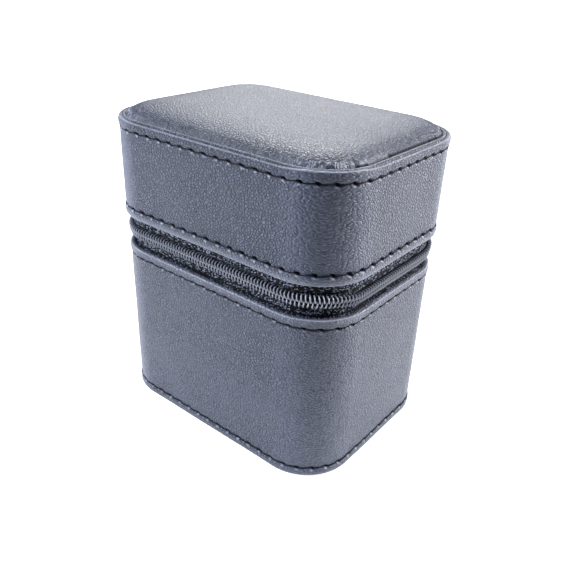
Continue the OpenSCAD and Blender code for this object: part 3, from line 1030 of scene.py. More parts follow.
    def relief(self, s: Array, z: Array) -> tuple[Array, Array, Array]:
        """How far the sewn leather stands off the plain wall.

        It is the sum of a groove along each row, a pit at each needle hole that leans the way
        that the thread steps, a swell between each row and the edge beyond it, a slight draw
        in on the other side, and a slow sway made of three sines.

        Args:
            s: distances round the outline.
            z: heights.

        Returns:
            The outward offset, and how far each point lies in a pit and on a pit's lip, from 0 to 1.
        """
        middle = sum(self.z) / 2
        offset = self.sway * (np.sin(s * 171 + z * 60) + 0.6 * np.sin(s * 307 - z * 131 + 1.3)
                              + 0.5 * np.sin(s * 89 + z * 239 + 4)) / 2
        pits, lips = np.zeros_like(s), np.zeros_like(s)
        for seam in self.seams:
            edge = self.z[0] if seam.z < middle else self.z[1]
            beyond = (z - seam.z) / (edge - seam.z)
            across = z - seam.z
            lean = self.to_hole(seam, s) - self.slant * across
            pit = np.exp(-(lean / self.pit_length) ** 4 - (across / self.pit_height) ** 4)
            funnel = bell(lean, 2.2 * self.pit_length) * bell(across, 2.2 * self.pit_height)
            lip = bell(lean - 0.55 * MM, 0.45 * MM) * bell(across + 0.6 * MM, 0.3 * MM)
            offset = offset - self.groove_depth(seam, z) - self.pit * pit - self.funnel * funnel
            offset = offset + self.lip * lip
            offset = offset + self.swell * np.sin(math.pi * np.clip(beyond, 0, 1)) ** 0.8
            offset = offset - self.draw * np.exp(-np.abs(across) / (2.2 * MM)) * (beyond < 0)
            pits, lips = np.maximum(pits, pit), np.maximum(lips, lip)
        return offset, pits, lips

    def rub_and_highlight(self, z: Array, facing: Array, crest: Array) -> Array:
        """How far the leather is smoothed by rubbing and painted lighter, a painted highlight: along the
        crests, and more and more from a seam to its edge.
        """
        worn = self.crest_worn * crest
        for seam, edge, amount in zip(self.seams, self.z, self.worn):
            worn = worn + amount * smooth((z - seam.z) / (edge - seam.z), 0.1, 1.0) * (facing > 0.01)
        return worn

    def leather(self, finish: bpy.types.Material) -> bpy.types.Object:
        """The wall itself, its section swept round the outline and given the sewn relief."""
        section, facing, crest = self.section()
        columns = round(self.outline.length / self.column)
        s = np.arange(columns)[:, None] * self.outline.length / columns
        z = section[None, :, 1]
        high = smooth(z, self.seams[1].z + 0.5 * MM, self.z[1] - 2 * self.roll) * (facing > 0.01)
        z = z - self.sag * high * (1 - self.outline.around_corners(s))
        offset, pits, lips = self.relief(*np.broadcast_arrays(s, z))
        points = self.outline.sweep(s, section[None, :, 0] + offset * facing, z)
        v = lengths(section, closed=True)
        u = np.linspace(0, self.outline.length, columns + 1)
        bent = np.broadcast_to(self.bend * self.outline.around_corners(s), pits.shape)
        # Third mark: rubbing, with a painted highlight, on the crests, the edges and the lips below the
        # holes.
        worn = self.rub_and_highlight(z, facing, crest) + self.lip_worn * lips * facing
        marks = np.stack([bent, pits * facing, worn.clip(0, 1)], -1)
        shell = Shell.grid(points, u, v, wrap_u=True, wrap_v=True, marks=marks).facing_out()
        return shell.build(self.name + "_leather_sewn", finish)

    def thread(self, finish: bpy.types.Material, steps: int = 12, sides: int = 6) -> bpy.types.Object:
        """The stitches: one thread per row, which rises over the leather from hole to hole.

        Along one stitch the thread climbs by the row's drop, then falls back inside the hole. Its
        height off the wall is a flat arch that dives into the hole at both ends.

        Args:
            finish: the thread's material.
            steps: rings in one stitch.
            sides: points in one ring.

        Returns:
            The threads of both rows as one piece.
        """
        rows = []
        for seam in self.seams:
            share = np.arange(seam.stitches * steps) / steps
            within = np.mod(share, 1)
            pitch = self.outline.length / seam.stitches
            s = seam.phase + share * pitch
            over = np.minimum(within, 1 - within)
            arch = smooth(over, 0.0, 0.16)
            z = seam.z - seam.pitch_drop * (within - 0.5) * smooth(over, -0.06, 0.12)
            off = -self.groove - self.dive * (1 - arch) + 0.1 * MM * arch
            turn = np.arange(sides) * 2 * math.pi / sides
            ring = self.thread_radius * (1.25 - 0.25 * arch)[:, None]
            points = self.outline.sweep(s[:, None], off[:, None] + ring * np.cos(turn),
                                        z[:, None] + ring * np.sin(turn))
            u = np.append(s, s[0] + self.outline.length)
            v = np.arange(sides + 1) * 2 * math.pi * self.thread_radius / sides
            rows.append(Shell.grid(points, u, v, wrap_u=True, wrap_v=True).facing_out())
        return Shell.joined(rows).build(self.name + "_stitches", finish)

    def build(self, finishes: Finishes, body: Body) -> None:
        """Makes the wall and its stitches, and dresses them."""
        settle(self.leather(finishes.wall), body, Slot.SIDE_LEATHER, self.name + "_leather")
        settle(self.thread(finishes.thread), body, Slot.ZIP_TAPE)


# ---- Zip ----


@dataclass
class Zip:
    """The coil zip: two woven tapes, and on each a flattened coil of filament over a core cord.

    Round the front the closed chain leans back a little towards the base, as its tapes do.

    Attributes:
        layout: outlines and heights of the case.
        start_angle: angle round both rear corners at which the zip ends, in degrees.
        tape_inset: how far inside the base's outline the tapes' outer faces lie.
        tape_thickness: thickness of a tape.
        tape_width: width of a tape.
        tape_edge: distance of its near edge from the zip's line.
        chain_inset: how far inside the base's outline the chain's path lies.
        pitch: length of one turn of a coil.
        coil_width: a coil's width.
        coil_height: its depth from front to back.
        head_reach: how far each coil reaches past the zip's line.
        filament: the filament's radius.
        lean: how far the chain stands out for each unit of height.
        lean_reach: the height off the line up to which it leans.
        lean_fade: heights between which the tapes are let go again.
        tuck: how far the tapes sink in beside the leather.
        dip: how far the chain dips along the right side.
    """

    layout: Layout
    start_angle: float = 50.0
    tape_inset: float = 1.8 * MM
    tape_thickness: float = 0.6 * MM
    tape_width: float = 13.0 * MM
    tape_edge: float = 0.75 * MM
    chain_inset: float = 0.8 * MM
    pitch: float = 1.27 * MM
    coil_width: float = 2.55 * MM
    coil_height: float = 2.0 * MM
    head_reach: float = 0.45 * MM
    filament: float = 0.22 * MM
    lean: float = 0.16
    lean_reach: float = 2.6 * MM
    lean_fade: tuple[float, float] = (5.4 * MM, 7.0 * MM)
    tuck: float = 0.8 * MM
    dip: float = 1.0 * MM

    @property
    def path(self) -> Outline:
        """The chain's path, at half the coil's height."""
        return self.layout.base.inset(self.chain_inset)

    def stretch(self, path: Outline) -> tuple[float, float]:
        """Where the tapes start and end along a path, at the same angle round both rear corners."""
        start = path.half_x + path.radius * math.radians(90 - self.start_angle)
        return start, path.length - start

    def line(self, s: Array) -> Array:
        """Height of the chain's middle line, which dips a little along the right side."""
        half_y = self.path.half_y
        away = np.abs(s - (self.path.half_x + self.path.corner + half_y))
        dipped = 1 - smooth(away, half_y - 4 * MM, half_y + 14 * MM)
        return self.layout.zip_z - self.dip * dipped

    def leaning(self, s: Array, z: Array) -> Array:
        """How far the chain and the tapes beside it stand out or back, by height.

        The lean is the height off the zip's line, held level past the coils and let go again
        where the tapes pass behind the leather. It fades out before the parked slider.
        """
        up = z - self.layout.zip_z
        held = np.clip(up, -self.lean_reach, self.lean_reach)
        held = held * (1 - smooth(np.abs(up), *self.lean_fade))
        front = 1 - smooth(s, 0.62 * self.path.length, 0.7 * self.path.length)
        return self.lean * held * front - self.tuck * self.sunk(z)

    def sunk(self, z: Array) -> Array:
        """How far a height lies in the crevice behind the base or in the crease above the coils."""
        above = z - self.layout.zip_z
        return bell(z - self.layout.base_z[1], 0.4 * MM) + 0.7 * bell(above - 2.1 * MM, 0.45 * MM)

    def tape(self, up: int, finish: bpy.types.Material) -> bpy.types.Object:
        """One tape, its thin section swept along the zip.

        Args:
            up: 1 for the lid's tape and -1 for the base's.
            finish: its material.

        Returns:
            The tape.
        """
        start, end = self.stretch(self.layout.base)
        s = np.linspace(start, end, 420)[:, None]
        rows = np.linspace(-0.5, 0.5, 60) * self.tape_width
        half = self.tape_thickness / 2
        section = np.concatenate([np.stack([rows * 0 + half, rows], -1),
                                  np.stack([rows * 0 - half, rows[::-1]], -1)])
        z = (self.layout.zip_z + up * (self.tape_edge + self.tape_width / 2) + section[:, 1])[None]
        off = section[:, 0][None] - self.tape_inset - half + self.leaning(s, z)
        points = capped(self.layout.base.sweep(s, off, z))
        # The sunk mark, which the tape's finish paints dark as painted shade.
        marks = np.stack([self.sunk(z[0]), 0 * z[0], 0 * z[0]], -1)
        shell = Shell.grid(points, twice_at_ends(s[:, 0]), lengths(section, closed=True), wrap_v=True,
                           marks=marks)
        name = "tape_upper_woven" if up > 0 else "tape_lower_woven"
        return shell.facing_out().build(name, finish, merge=True)

    def turns(self) -> int:
        """Turns in each coil, up to the middle of the parked slider."""
        low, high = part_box("slider_body")
        path = self.path
        end = path.length - path.half_x - path.corner - path.half_y + (low.y + high.y) / 2
        return int((end - self.stretch(path)[0]) / self.pitch) - 1

    def coil(self, up: int, steps: int = 12, sides: int = 5) -> Shell:
        """One coil: a filament wound in a flat loop that moves on a pitch with each turn.

        The loop is a superellipse across the chain. The two coils are half a pitch apart, and
        each turn is pressed wider at its head.

        Args:
            up: 1 for the lid's coil and -1 for the base's.
            steps: rings in one turn.
            sides: points in one ring.

        Returns:
            The coil as a surface.
        """
        start = self.stretch(self.path)[0]
        t = (np.arange(self.turns() * steps + 1) / steps)[:, None]
        turn = np.arange(sides) * 2 * math.pi / sides
        to_head, proud = squared(np.cos(2 * math.pi * t), 0.72), squared(np.sin(2 * math.pi * t), 0.72)
        half_w, half_h = self.coil_width / 2 - self.filament, self.coil_height / 2 - self.filament
        size = np.hypot(to_head, proud)
        head = smooth(to_head, 0.4, 1.0)
        across = half_w * to_head + self.filament * (1 + 0.1 * head) * np.cos(turn) * to_head / size
        off = half_h * proud + self.filament * np.cos(turn) * proud / size
        z = self.line(t * self.pitch + start) + up * (self.coil_width / 2 - self.head_reach - across)
        s = start + (t + 0.5 + 0.25 * up) * self.pitch + self.filament * (1 + 0.3 * head) * np.sin(turn)
        points = capped(self.path.sweep(s, off + self.leaning(s, z), z))
        wound = t[:, 0] * 4 * (half_w + half_h)
        v = np.arange(sides + 1) * 2 * math.pi * self.filament / sides
        # Marks the back half of each turn, which the finish paints dark as painted shade.
        back = smooth(-proud, 0.2, 0.8)[..., None]
        return Shell.grid(points, twice_at_ends(wound), v, wrap_v=True, marks=twice_at_ends(back))

    def cord(self, up: int, height: float, radius: float) -> Shell:
        """The core cord that a coil is wound on.

        Args:
            up: 1 for the lid's coil and -1 for the base's.
            height: how far it lies from the zip's line.
            radius: its radius.

        Returns:
            The cord as a surface.
        """
        start = self.stretch(self.path)[0]
        s = np.linspace(start, start + self.turns() * self.pitch, 2 * self.turns())[:, None]
        turn = np.arange(6) * math.pi / 3
        z = self.line(s) + up * height + radius * np.sin(turn)
        off = radius * np.cos(turn) + self.leaning(s, z)
        points = capped(self.path.sweep(s, off, z))
        return Shell.grid(points, twice_at_ends(s[:, 0]), np.arange(7) * radius, wrap_v=True)

    def build(self, finishes: Finishes) -> None:
        """Makes and dresses the tapes, the coils and their cores."""
        for up, body, side in ((-1, Body.BASE, "lower"), (1, Body.LID, "upper")):
            settle(self.tape(up, finishes.tape), body, Slot.ZIP_TAPE, f"tape_{side}")
            coil = self.coil(up).facing_out()
            name = f"coil_{side}_filament"
            settle(coil.build(name, finishes.coil, merge=True), body, Slot.ZIP_COIL, f"coil_{side}")
            core = self.cord(up, 0.95 * MM, 0.5 * MM).facing_out()
            settle(core.build(f"core_{side}", finishes.thread, merge=True), body, Slot.ZIP_TAPE)


@dataclass
class Hardware:
    """The slider, its pull tab and the stops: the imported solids, merged and with softened edges."""

    bevel: float = 0.14 * MM

    def softened(self, node: str, finish: bpy.types.Material) -> bpy.types.Object:
        """A copy of a node with its points merged, its flats joined and its edges rounded."""
        mesh = bpy.data.meshes.new(node + "_lacquered")
        work = bmesh.new()
        work.from_mesh(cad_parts[node].data)
        bmesh.ops.remove_doubles(work, verts=work.verts, dist=0.001 * MM)
        bmesh.ops.dissolve_limit(work, angle_limit=math.radians(2), verts=work.verts, edges=work.edges)
        work.to_mesh(mesh)
        work.free()
        piece = dressed(mesh, finish)
        rounding = piece.modifiers.new("rounding", "BEVEL")
        rounding.width, rounding.segments, rounding.limit_method = self.bevel, 2, "ANGLE"
        rounding.angle_limit = math.radians(35)
        rounding.use_clamp_overlap = True
        return piece

    def build(self, finishes: Finishes) -> None:
        """Makes and dresses each piece of metal."""
        for node, body in (("slider_body", Body.SLIDER), ("pull_tab", Body.PULL),
                           ("stop_lower", Body.BASE), ("stop_upper", Body.LID)):
            settle(self.softened(node, finishes.metal), body, Slot.ZIP_METAL, node)


# ---- Padded pieces ----


@dataclass
class ClothSettings:
    """How a padded piece is blown up: the pressure in it, how slack its cover is, and how far a
    point may move."""

    pressure: float = 4.0
    slack: float = 0.01
    cap: float = 1.0 * MM
    frames: int = 14
    mass: float = 0.3
    stiffness: float = 40.0
    evenings: int = 14


def blown(piece: bpy.types.Object, free: Array, settings: ClothSettings) -> None:
    """Swells a closed piece by a cloth simulation and keeps the result in its mesh.

    Args:
        piece: the piece, at the origin.
        free: how free each point is, from 0, held, to 1.
        settings: pressure, slack and cap.
    """
    held = piece.vertex_groups.new(name="held")
    for index in np.flatnonzero(free < 0.999):
        held.add([int(index)], float(1 - free[index]), "REPLACE")
    rest = points_of(piece.data)
    cloth = piece.modifiers.new("cloth", "CLOTH")
    made = cloth.settings
    made.quality, made.mass = 6, settings.mass
    made.tension_stiffness = made.compression_stiffness = settings.stiffness
    made.shear_stiffness, made.bending_stiffness = settings.stiffness / 2, 0.05
    made.use_pressure, made.uniform_pressure_force = True, settings.pressure
    made.shrink_min = -settings.slack
    made.vertex_group_mass = held.name
    made.pin_stiffness = 5.0
    made.effector_weights.gravity = 0.0
    cloth.collision_settings.use_collision = False
    cloth.point_cache.frame_end = settings.frames
    scene = bpy.context.scene
    for number in range(1, settings.frames + 1):
        scene.frame_set(number)
    solved = piece.evaluated_get(bpy.context.evaluated_depsgraph_get())
    move = points_of(solved.to_mesh()) - rest
    solved.to_mesh_clear()
    piece.modifiers.remove(cloth)
    piece.vertex_groups.remove(held)
    scene.frame_set(1)
    move = evened(piece.data, move * free[:, None], settings.evenings)
    far = np.linalg.norm(move, axis=-1, keepdims=True)
    move = move * np.minimum(1, settings.cap / np.maximum(far, 1e-9)) * free[:, None]
    set_points(piece.data, rest + move)
    piece.data.update()
    log.info("%s swelled by up to %.2f mm", piece.name, 1000 * float(np.linalg.norm(move, axis=-1).max()))


def evened(mesh: bpy.types.Mesh, values: Array, passes: int) -> Array:
    """Smooths values over a mesh: each pass takes the mean of a point and its neighbours' mean."""
    ends = np.empty(2 * len(mesh.edges), np.int32)
    mesh.edges.foreach_get("vertices", ends)
    first, second = ends[::2], ends[1::2]
    count = np.bincount(ends, minlength=len(values))[:, None]
    for _ in range(passes):
        total = np.zeros_like(values)
        np.add.at(total, first, values[second])
        np.add.at(total, second, values[first])
        values = 0.5 * values + 0.5 * total / count
    return values


def patch(outline: Outline, across: int, deep: int) -> tuple[Array, Array]:
    """A grid of quads that fills a rounded rectangle, with its four corners on the round ones.

    It is a Coons patch: each point is the mean of the two ways of joining opposite edges in a
    straight line, less the same with the four corners alone.

    Args:
        outline: the edge.
        across: steps along X.
        deep: steps along Y.

    Returns:
        X and Y, of shape (across + 1, deep + 1).
    """
    rear_right, front_right, front_left, rear_left = (outline.corner_middle(k) for k in range(4))
    a, b = np.linspace(0, 1, across + 1)[:, None], np.linspace(0, 1, deep + 1)[None]

    def edge(start: float, end: float, share: Array) -> Array:
        """Points on the outline between two distances."""
        return outline.at(start + (end - start) * share)[0]

    front = edge(front_left, front_right, a)
    rear = edge(rear_left - outline.length, rear_right, a)
    left = edge(front_left, rear_left, b)
    right = edge(front_right, rear_right, b)
    a, b = a[..., None], b[..., None]
    corners = ((1 - a) * (1 - b) * front[:1] + a * (1 - b) * front[-1:]
               + (1 - a) * b * rear[:1] + a * b * rear[-1:])
    grid = (1 - b) * front + b * rear + (1 - a) * left + a * right - corners
    return grid[..., 0], grid[..., 1]


def pad(outline: Outline, across: int, deep: int, top: Array, floor: float) -> tuple[Shell, Array]:
    """A closed pad on a patch: a top of given heights and a flat floor, joined round the edge.

    The floor is the same grid turned over, so that both share their edge points once merged by
    a strip of side faces.

    Args:
        outline: the pad's edge.
        across: steps along X.
        deep: steps along Y.
        top: heights of the top, of shape (across + 1, deep + 1).
        floor: height of the floor.

    Returns:
        The pad, and which of its points are on the top.
    """
    x, y = patch(outline, across, deep)
    upper = np.stack([x, y, top], -1)
    lower = np.stack([x, y, np.full_like(x, floor)], -1)
    rim = np.concatenate([[(i, 0) for i in range(across)], [(across, j) for j in range(deep)],
                          [(i, deep) for i in range(across, 0, -1)],
                          [(0, j) for j in range(deep, 0, -1)]])
    steps = np.linspace(0, 1, 4)[None, :, None]
    edges = [sheet[rim[:, 0], rim[:, 1]][:, None] for sheet in (upper, lower)]
    side = edges[0] * (1 - steps) + edges[1] * steps
    round_edge = lengths(side[:, 0], closed=True)
    faces = [Shell.grid(upper, x[:, 0], y[0]), Shell.grid(lower[:, ::-1], x[:, 0], y[0]),
             Shell.grid(side, round_edge, np.linspace(0, float(top.min()) - floor, 4), wrap_u=True)]
    for shell, flat in ((faces[0], upper), (faces[1], lower[:, ::-1])):
        shell.cuts = flat.reshape(-1, 3)[shell.faces][..., :2]
    on_top = np.concatenate([np.ones(x.size), np.zeros(x.size + side[..., 0].size)])
    return Shell.joined(faces), on_top


@dataclass
class Cushion:
    """The lid's padded top: a crowned leather pad whose edge is gathered into the rim's groove.

    Attributes:
        outline: the pad's edge.
        groove_z: height of its edge.
        crown_z: height of its middle.
        floor_z: height of its floor.
        run: how far in from the edge the top reaches its full height.
        fullness: power of the superellipse that it rises by.
        draw: how far the edge is drawn down at the sides and the back.
        gap: how far the top is let down to stay inside its size once swelled.
        front: half the length along the front where the edge is not drawn down.
        across: steps along X.
        deep: steps along Y.
        swell: how the pad is blown up.
    """

    outline: Outline
    groove_z: float
    crown_z: float
    floor_z: float
    run: float = 19 * MM
    fullness: float = 2.0
    draw: float = 1.6 * MM
    gap: float = 0.12 * MM
    front: float = 44 * MM
    across: int = 58
    deep: int = 42
    swell: ClothSettings = field(
        default_factory=lambda: ClothSettings(pressure=3.0, cap=0.3 * MM, evenings=40))

    @classmethod
    def from_frame(cls, layout: Layout, groove_z: float = 106.0 * MM) -> "Cushion":
        """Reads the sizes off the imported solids; only the height of the edge is given."""
        low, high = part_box("lid_cushion")
        inset = (layout.lid.width - (high.x - low.x)) / 2
        return cls(layout.lid.inset(inset), groove_z, high.z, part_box("lid_foam")[0].z)

    def heights(self, inset: Array) -> Array:
        """Height of the top by how far in it lies: a superellipse from the groove to the crown."""
        t = np.clip(inset / self.run, 0, 1)
        rise = (1 - (1 - t) ** self.fullness) ** (1 / self.fullness)
        return self.groove_z + (self.crown_z - self.groove_z) * rise

    def pucker(self, inset: Array, s: Array) -> Array:
        """Depth of the larger gathers: waves along the edge that die out inwards.

        Three waves of unlike length are added, so that no two gathers are the same, and the
        corners, where the leather has most to take up, get more.
        """
        around = s * 2 * math.pi / MM
        waves = np.sin(around / 2.3) + 0.8 * np.sin(around / 3.7 + 2) + 0.6 * np.sin(around / 1.6 + 4)
        depth = 0.03 * MM + 0.06 * MM * self.outline.around_corners(s)
        return depth * waves * (1 - smooth(inset, 0.3 * MM, 2.6 * MM))

    def past_front(self, s: Array, end: float) -> Array:
        """How far a distance along lies past the front: 0 up to its ends, 1 from another distance.

        Args:
            s: distances along the outline.
            end: the distance from the front's middle at which it reaches 1.

        Returns:
            The share, from 0 to 1.
        """
        return smooth(np.abs(s - self.outline.length / 2), self.front, end)

    def build(self, finishes: Finishes) -> None:
        """Makes the pad, blows it up, refines it and presses the gathers in."""
        x, y = patch(self.outline, self.across, self.deep)
        inset, _ = self.outline.locate(x, y)
        shell, on_top = pad(self.outline, self.across, self.deep, self.heights(inset), self.floor_z)
        shell.marks[:, 0] = on_top
        piece = shell.facing_out().build("cushion_padded", finishes.cushion, merge=True)
        co, top = points_of(piece.data), marks_of(piece.data)
        inset, _ = self.outline.locate(co[:, 0], co[:, 1])
        blown(piece, top * smooth(inset, 0.5 * MM, 4 * MM), self.swell)
        refined(piece, 2)
        co, top = points_of(piece.data), marks_of(piece.data)
        inset, s = self.outline.locate(co[:, 0], co[:, 1])
        drawn = self.draw * bell(inset, 0.75 * MM) * self.past_front(s, 56 * MM)
        co[:, 2] -= (top > 0.99) * (self.gap + self.pucker(inset, s) + drawn)
        set_points(piece.data, co)
        shade = (1 - smooth(inset, 0.3 * MM, 0.9 * MM)) * self.past_front(s, 52 * MM)
        set_marks(piece.data, np.stack([top, self.outline.around_corners(s), shade], -1))
        edge_cut(piece, self.outline)
        settle(piece, Body.LID, Slot.CUSHION_LEATHER, "lid_cushion", "lid_foam")


def refined(piece: bpy.types.Object, levels: int) -> None:
    """Splits a piece's faces by subdivision and keeps the result in its mesh."""
    division = piece.modifiers.new("division", "SUBSURF")
    division.levels = division.render_levels = levels
    fine = bpy.data.meshes.new_from_object(piece.evaluated_get(bpy.context.evaluated_depsgraph_get()))
    piece.modifiers.remove(division)
    coarse, name = piece.data, piece.data.name
    piece.data = fine
    bpy.data.meshes.remove(coarse)
    fine.name = name


def edge_cut(piece: bpy.types.Object, outline: Outline) -> None:
    """Sets a piece's cut to the distance along an outline and the inset from it."""
    mesh = piece.data
    corners = np.empty(len(mesh.loops), np.int32)
    mesh.loops.foreach_get("vertex_index", corners)
    co = points_of(mesh)[corners]
    inset, s = outline.locate(co[:, 0], co[:, 1])
    starts = np.empty(len(mesh.polygons), np.int32)
    mesh.polygons.foreach_get("loop_start", starts)
    sizes = np.empty(len(mesh.polygons), np.int32)
    mesh.polygons.foreach_get("loop_total", sizes)
    first = np.repeat(s[starts], sizes)
    s = s - outline.length * np.round((s - first) / outline.length)
    mesh.uv_layers[CUT].uv.foreach_set("vector", np.stack([s, inset], -1).astype(np.float32).ravel())


@dataclass
class Pad:
    """A thin padded panel inside the case, glued down by its flat face."""

    name: str
    outline: Outline
    glued_z: float
    proud_z: float
    node: str
    body: Body
    slot: Slot
    across: int = 40
    deep: int = 30
    edge: float = 3 * MM
    swell: ClothSettings = field(default_factory=lambda: ClothSettings(pressure=2.0, cap=0.4 * MM))

    def build(self, finish: bpy.types.Material) -> None:
        """Makes the panel with a rounded edge, and blows it up."""
        x, y = patch(self.outline, self.across, self.deep)
        inset, _ = self.outline.locate(x, y)
        t = np.clip(inset / self.edge, 0, 1)
        share = 0.35 + 0.65 * np.sqrt(1 - (1 - t) ** 2)
        top = self.glued_z + (self.proud_z - self.glued_z) * share
        shell, on_top = pad(self.outline, self.across, self.deep, top, self.glued_z)
        shell.marks[:, 0] = on_top
        piece = shell.facing_out().build(self.name, finish, merge=True)
        co = points_of(piece.data)
        inset, _ = self.outline.locate(co[:, 0], co[:, 1])
        blown(piece, marks_of(piece.data) * smooth(inset, 0.0, self.edge), self.swell)
        refined(piece, 1)
        settle(piece, self.body, self.slot, self.node)


@dataclass
class Pillow:
    """The lift-out pillow that a watch strap closes round: a stuffed suede sleeve with sewn ends.

    Attributes:
        low: lowest corner of the pillow's box.
        high: highest corner of it.
        radius: radius of the section's corners.
        end_depth: how deep each end is rounded.
        piping: the piping's radius.
        rings: rings along the straight part.
        corner_steps: steps round each corner of the section.
        swell: how the sleeve is blown up.
    """

    low: Vector
    high: Vector
    radius: float = 21 * MM
    end_depth: float = 5 * MM
    piping: float = 0.7 * MM
    rings: int = 56
    corner_steps: int = 14
    swell: ClothSettings = field(default_factory=lambda: ClothSettings(pressure=2.5, cap=0.5 * MM))

    def section(self) -> Outline:
        """The sleeve's section, in Y and Z."""
        return Outline(self.high.y - self.low.y, self.high.z - self.low.z, self.radius)

    def loop(self) -> tuple[Array, Array]:
        """Distances along the section's outline, and how long it is, closer at the corners."""
        section, steps = self.section(), self.corner_steps
        x, y, arc = section.half_x, section.half_y, section.corner
        knots = np.cumsum([0, x, arc, 2 * y, arc, 2 * x, arc, 2 * y, arc, x])
        counts = [2, steps, 6, steps, 4, steps, 6, steps, 2]
        parts = [np.linspace(a, b, count, endpoint=False)
                 for a, b, count in zip(knots[:-1], knots[1:], counts)]
        return np.concatenate(parts), np.array(section.length)

    def profile(self, half: float) -> list[tuple[float, float]]:
        """Where the sleeve's rings lie along X, and how far in each is: round, then flat, ends."""
        depth = self.end_depth
        turn = np.linspace(0, math.pi / 2, 8)[1:-1]
        ends = [(half - depth * (1 - np.sin(a)), (1 - np.cos(a)) * 0.6 * depth) for a in turn]
        flat = [(half, 0.6 * depth + share * (self.radius - 0.6 * depth - 0.5 * MM))
                for share in np.linspace(0, 1, 9)]
        body = [(x, 0.0) for x in np.linspace(-half + depth, half - depth, self.rings)]
        right = ends + flat
        return [(-x, inset) for x, inset in right[::-1]] + body + right

    def ring(self, inset: float) -> tuple[Array, Array]:
        """Points and normals, in Y and Z, of the section a distance inside the sleeve's own."""
        along, whole = self.loop()
        section = self.section().inset(inset)
        points, normal = section.at(along * section.length / whole)
        middle = (self.low + self.high) / 2
        return points + [middle.y, middle.z], normal

    def sleeve(self, half: float) -> Shell:
        """The stuffed sleeve, its section drawn along X and closed at both ends."""
        rings = []
        for x, inset in self.profile(half):
            points, _ = self.ring(min(inset, self.radius - 0.3 * MM))
            rings.append(np.concatenate([np.full((len(points), 1), x), points], -1))
        grid = capped(np.stack(rings))
        return Shell.grid(grid, lengths(grid[:, 0]), np.append(*self.loop()), wrap_v=True)

    def pipe(self, centre: float) -> Shell:
        """The piping round one end, sunk a little into the sleeve."""
        turn = np.arange(8) * math.pi / 4
        points, normal = self.ring(0.15 * self.end_depth)
        out = self.piping * np.cos(turn) - 0.25 * self.piping
        grid = points[:, None] + normal[:, None] * out[None, :, None]
        x = np.broadcast_to(centre + self.piping * np.sin(turn), grid.shape[:2])
        return Shell.grid(np.concatenate([x[..., None], grid], -1), np.append(*self.loop()),
                          np.arange(9) * self.piping, wrap_u=True, wrap_v=True)

    def build(self, finishes: Finishes) -> None:
        """Makes the sleeve with its ends and the piping round each end."""
        half, depth = (self.high.x - self.low.x) / 2, self.end_depth
        piece = self.sleeve(half).facing_out().build("pillow_stuffed", finishes.suede, merge=True)
        from_middle = np.abs(points_of(piece.data)[:, 0])
        blown(piece, 1 - smooth(from_middle, half - 1.6 * depth, half - 0.9 * depth), self.swell)
        refined(piece, 1)
        settle(piece, Body.PILLOW, Slot.PILLOW_SUEDE, "pillow_cover", "pillow_foam", "pillow_ends")
        pipes = [self.pipe(side * (half - 0.45 * depth)).facing_out() for side in (-1, 1)]
        settle(Shell.joined(pipes).build("pillow_piping", finishes.suede), Body.PILLOW, Slot.PILLOW_SUEDE)


# ---- Hinge and linings ----


@dataclass
class Hinge:
    """The leather strip that joins lid and base at the back, with a velvet strip behind it."""

    layout: Layout
    strip: tuple[float, float] = (1.8 * MM, 2.4 * MM)
    lining: tuple[float, float] = (2.4 * MM, 2.9 * MM)
    crease: float = 0.18 * MM

    def band(self, name: str, node: str, inset: tuple[float, float], finish: bpy.types.Material) -> None:
        """One strip round the back, with many rows up its height.

        Args:
            name: the piece's name.
            node: the node that it stands for.
            inset: insets of its outer and inner faces from the base's outline.
            finish: its material.
        """
        low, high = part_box(node)
        outline = self.layout.base
        reach = math.asin((high.x - outline.half_x) / (outline.radius - inset[0]))
        end = outline.half_x + outline.radius * reach
        s = np.linspace(-end, end, 240)[:, None]
        thickness, height = inset[1] - inset[0], high.z - low.z
        rows = np.linspace(-0.5, 0.5, 44) * (height - thickness)
        turn = np.linspace(0, math.pi, 6)[1:-1]
        arc = np.stack([np.cos(turn), np.sin(turn)], -1) * thickness / 2
        half = thickness / 2
        section = np.concatenate([
            np.stack([rows * 0 + half, rows], -1), arc + [0, rows[-1]],
            np.stack([rows * 0 - half, rows[::-1]], -1), -arc + [0, rows[0]]])
        z = (low.z + high.z) / 2 + section[:, 1][None]
        wrinkle = bell(z - self.layout.zip_z, 2.2 * MM) * self.crease
        off = section[:, 0][None] - (inset[0] + inset[1]) / 2
        off = off - wrinkle * (0.6 + 0.4 * np.sin(s * 420 + 2 * np.sin(s * 90)))
        points = capped(outline.sweep(s, off, z))
        shell = Shell.grid(points, twice_at_ends(s[:, 0]), lengths(section, closed=True), wrap_v=True)
        piece = shell.facing_out().build(name, finish, merge=True)
        y = self.layout.base.depth / 2
        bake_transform(piece)
        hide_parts(node)
        log.info("%s bends between base and lid with %d faces", name, len(piece.data.polygons))

    def build(self, finishes: Finishes) -> None:
        """Makes both strips."""
        self.band("hinge_leather_strip", "hinge_strip", self.strip, finishes.hinge)
        self.band("hinge_velvet_strip", "hinge_lining", self.lining, finishes.velvet)


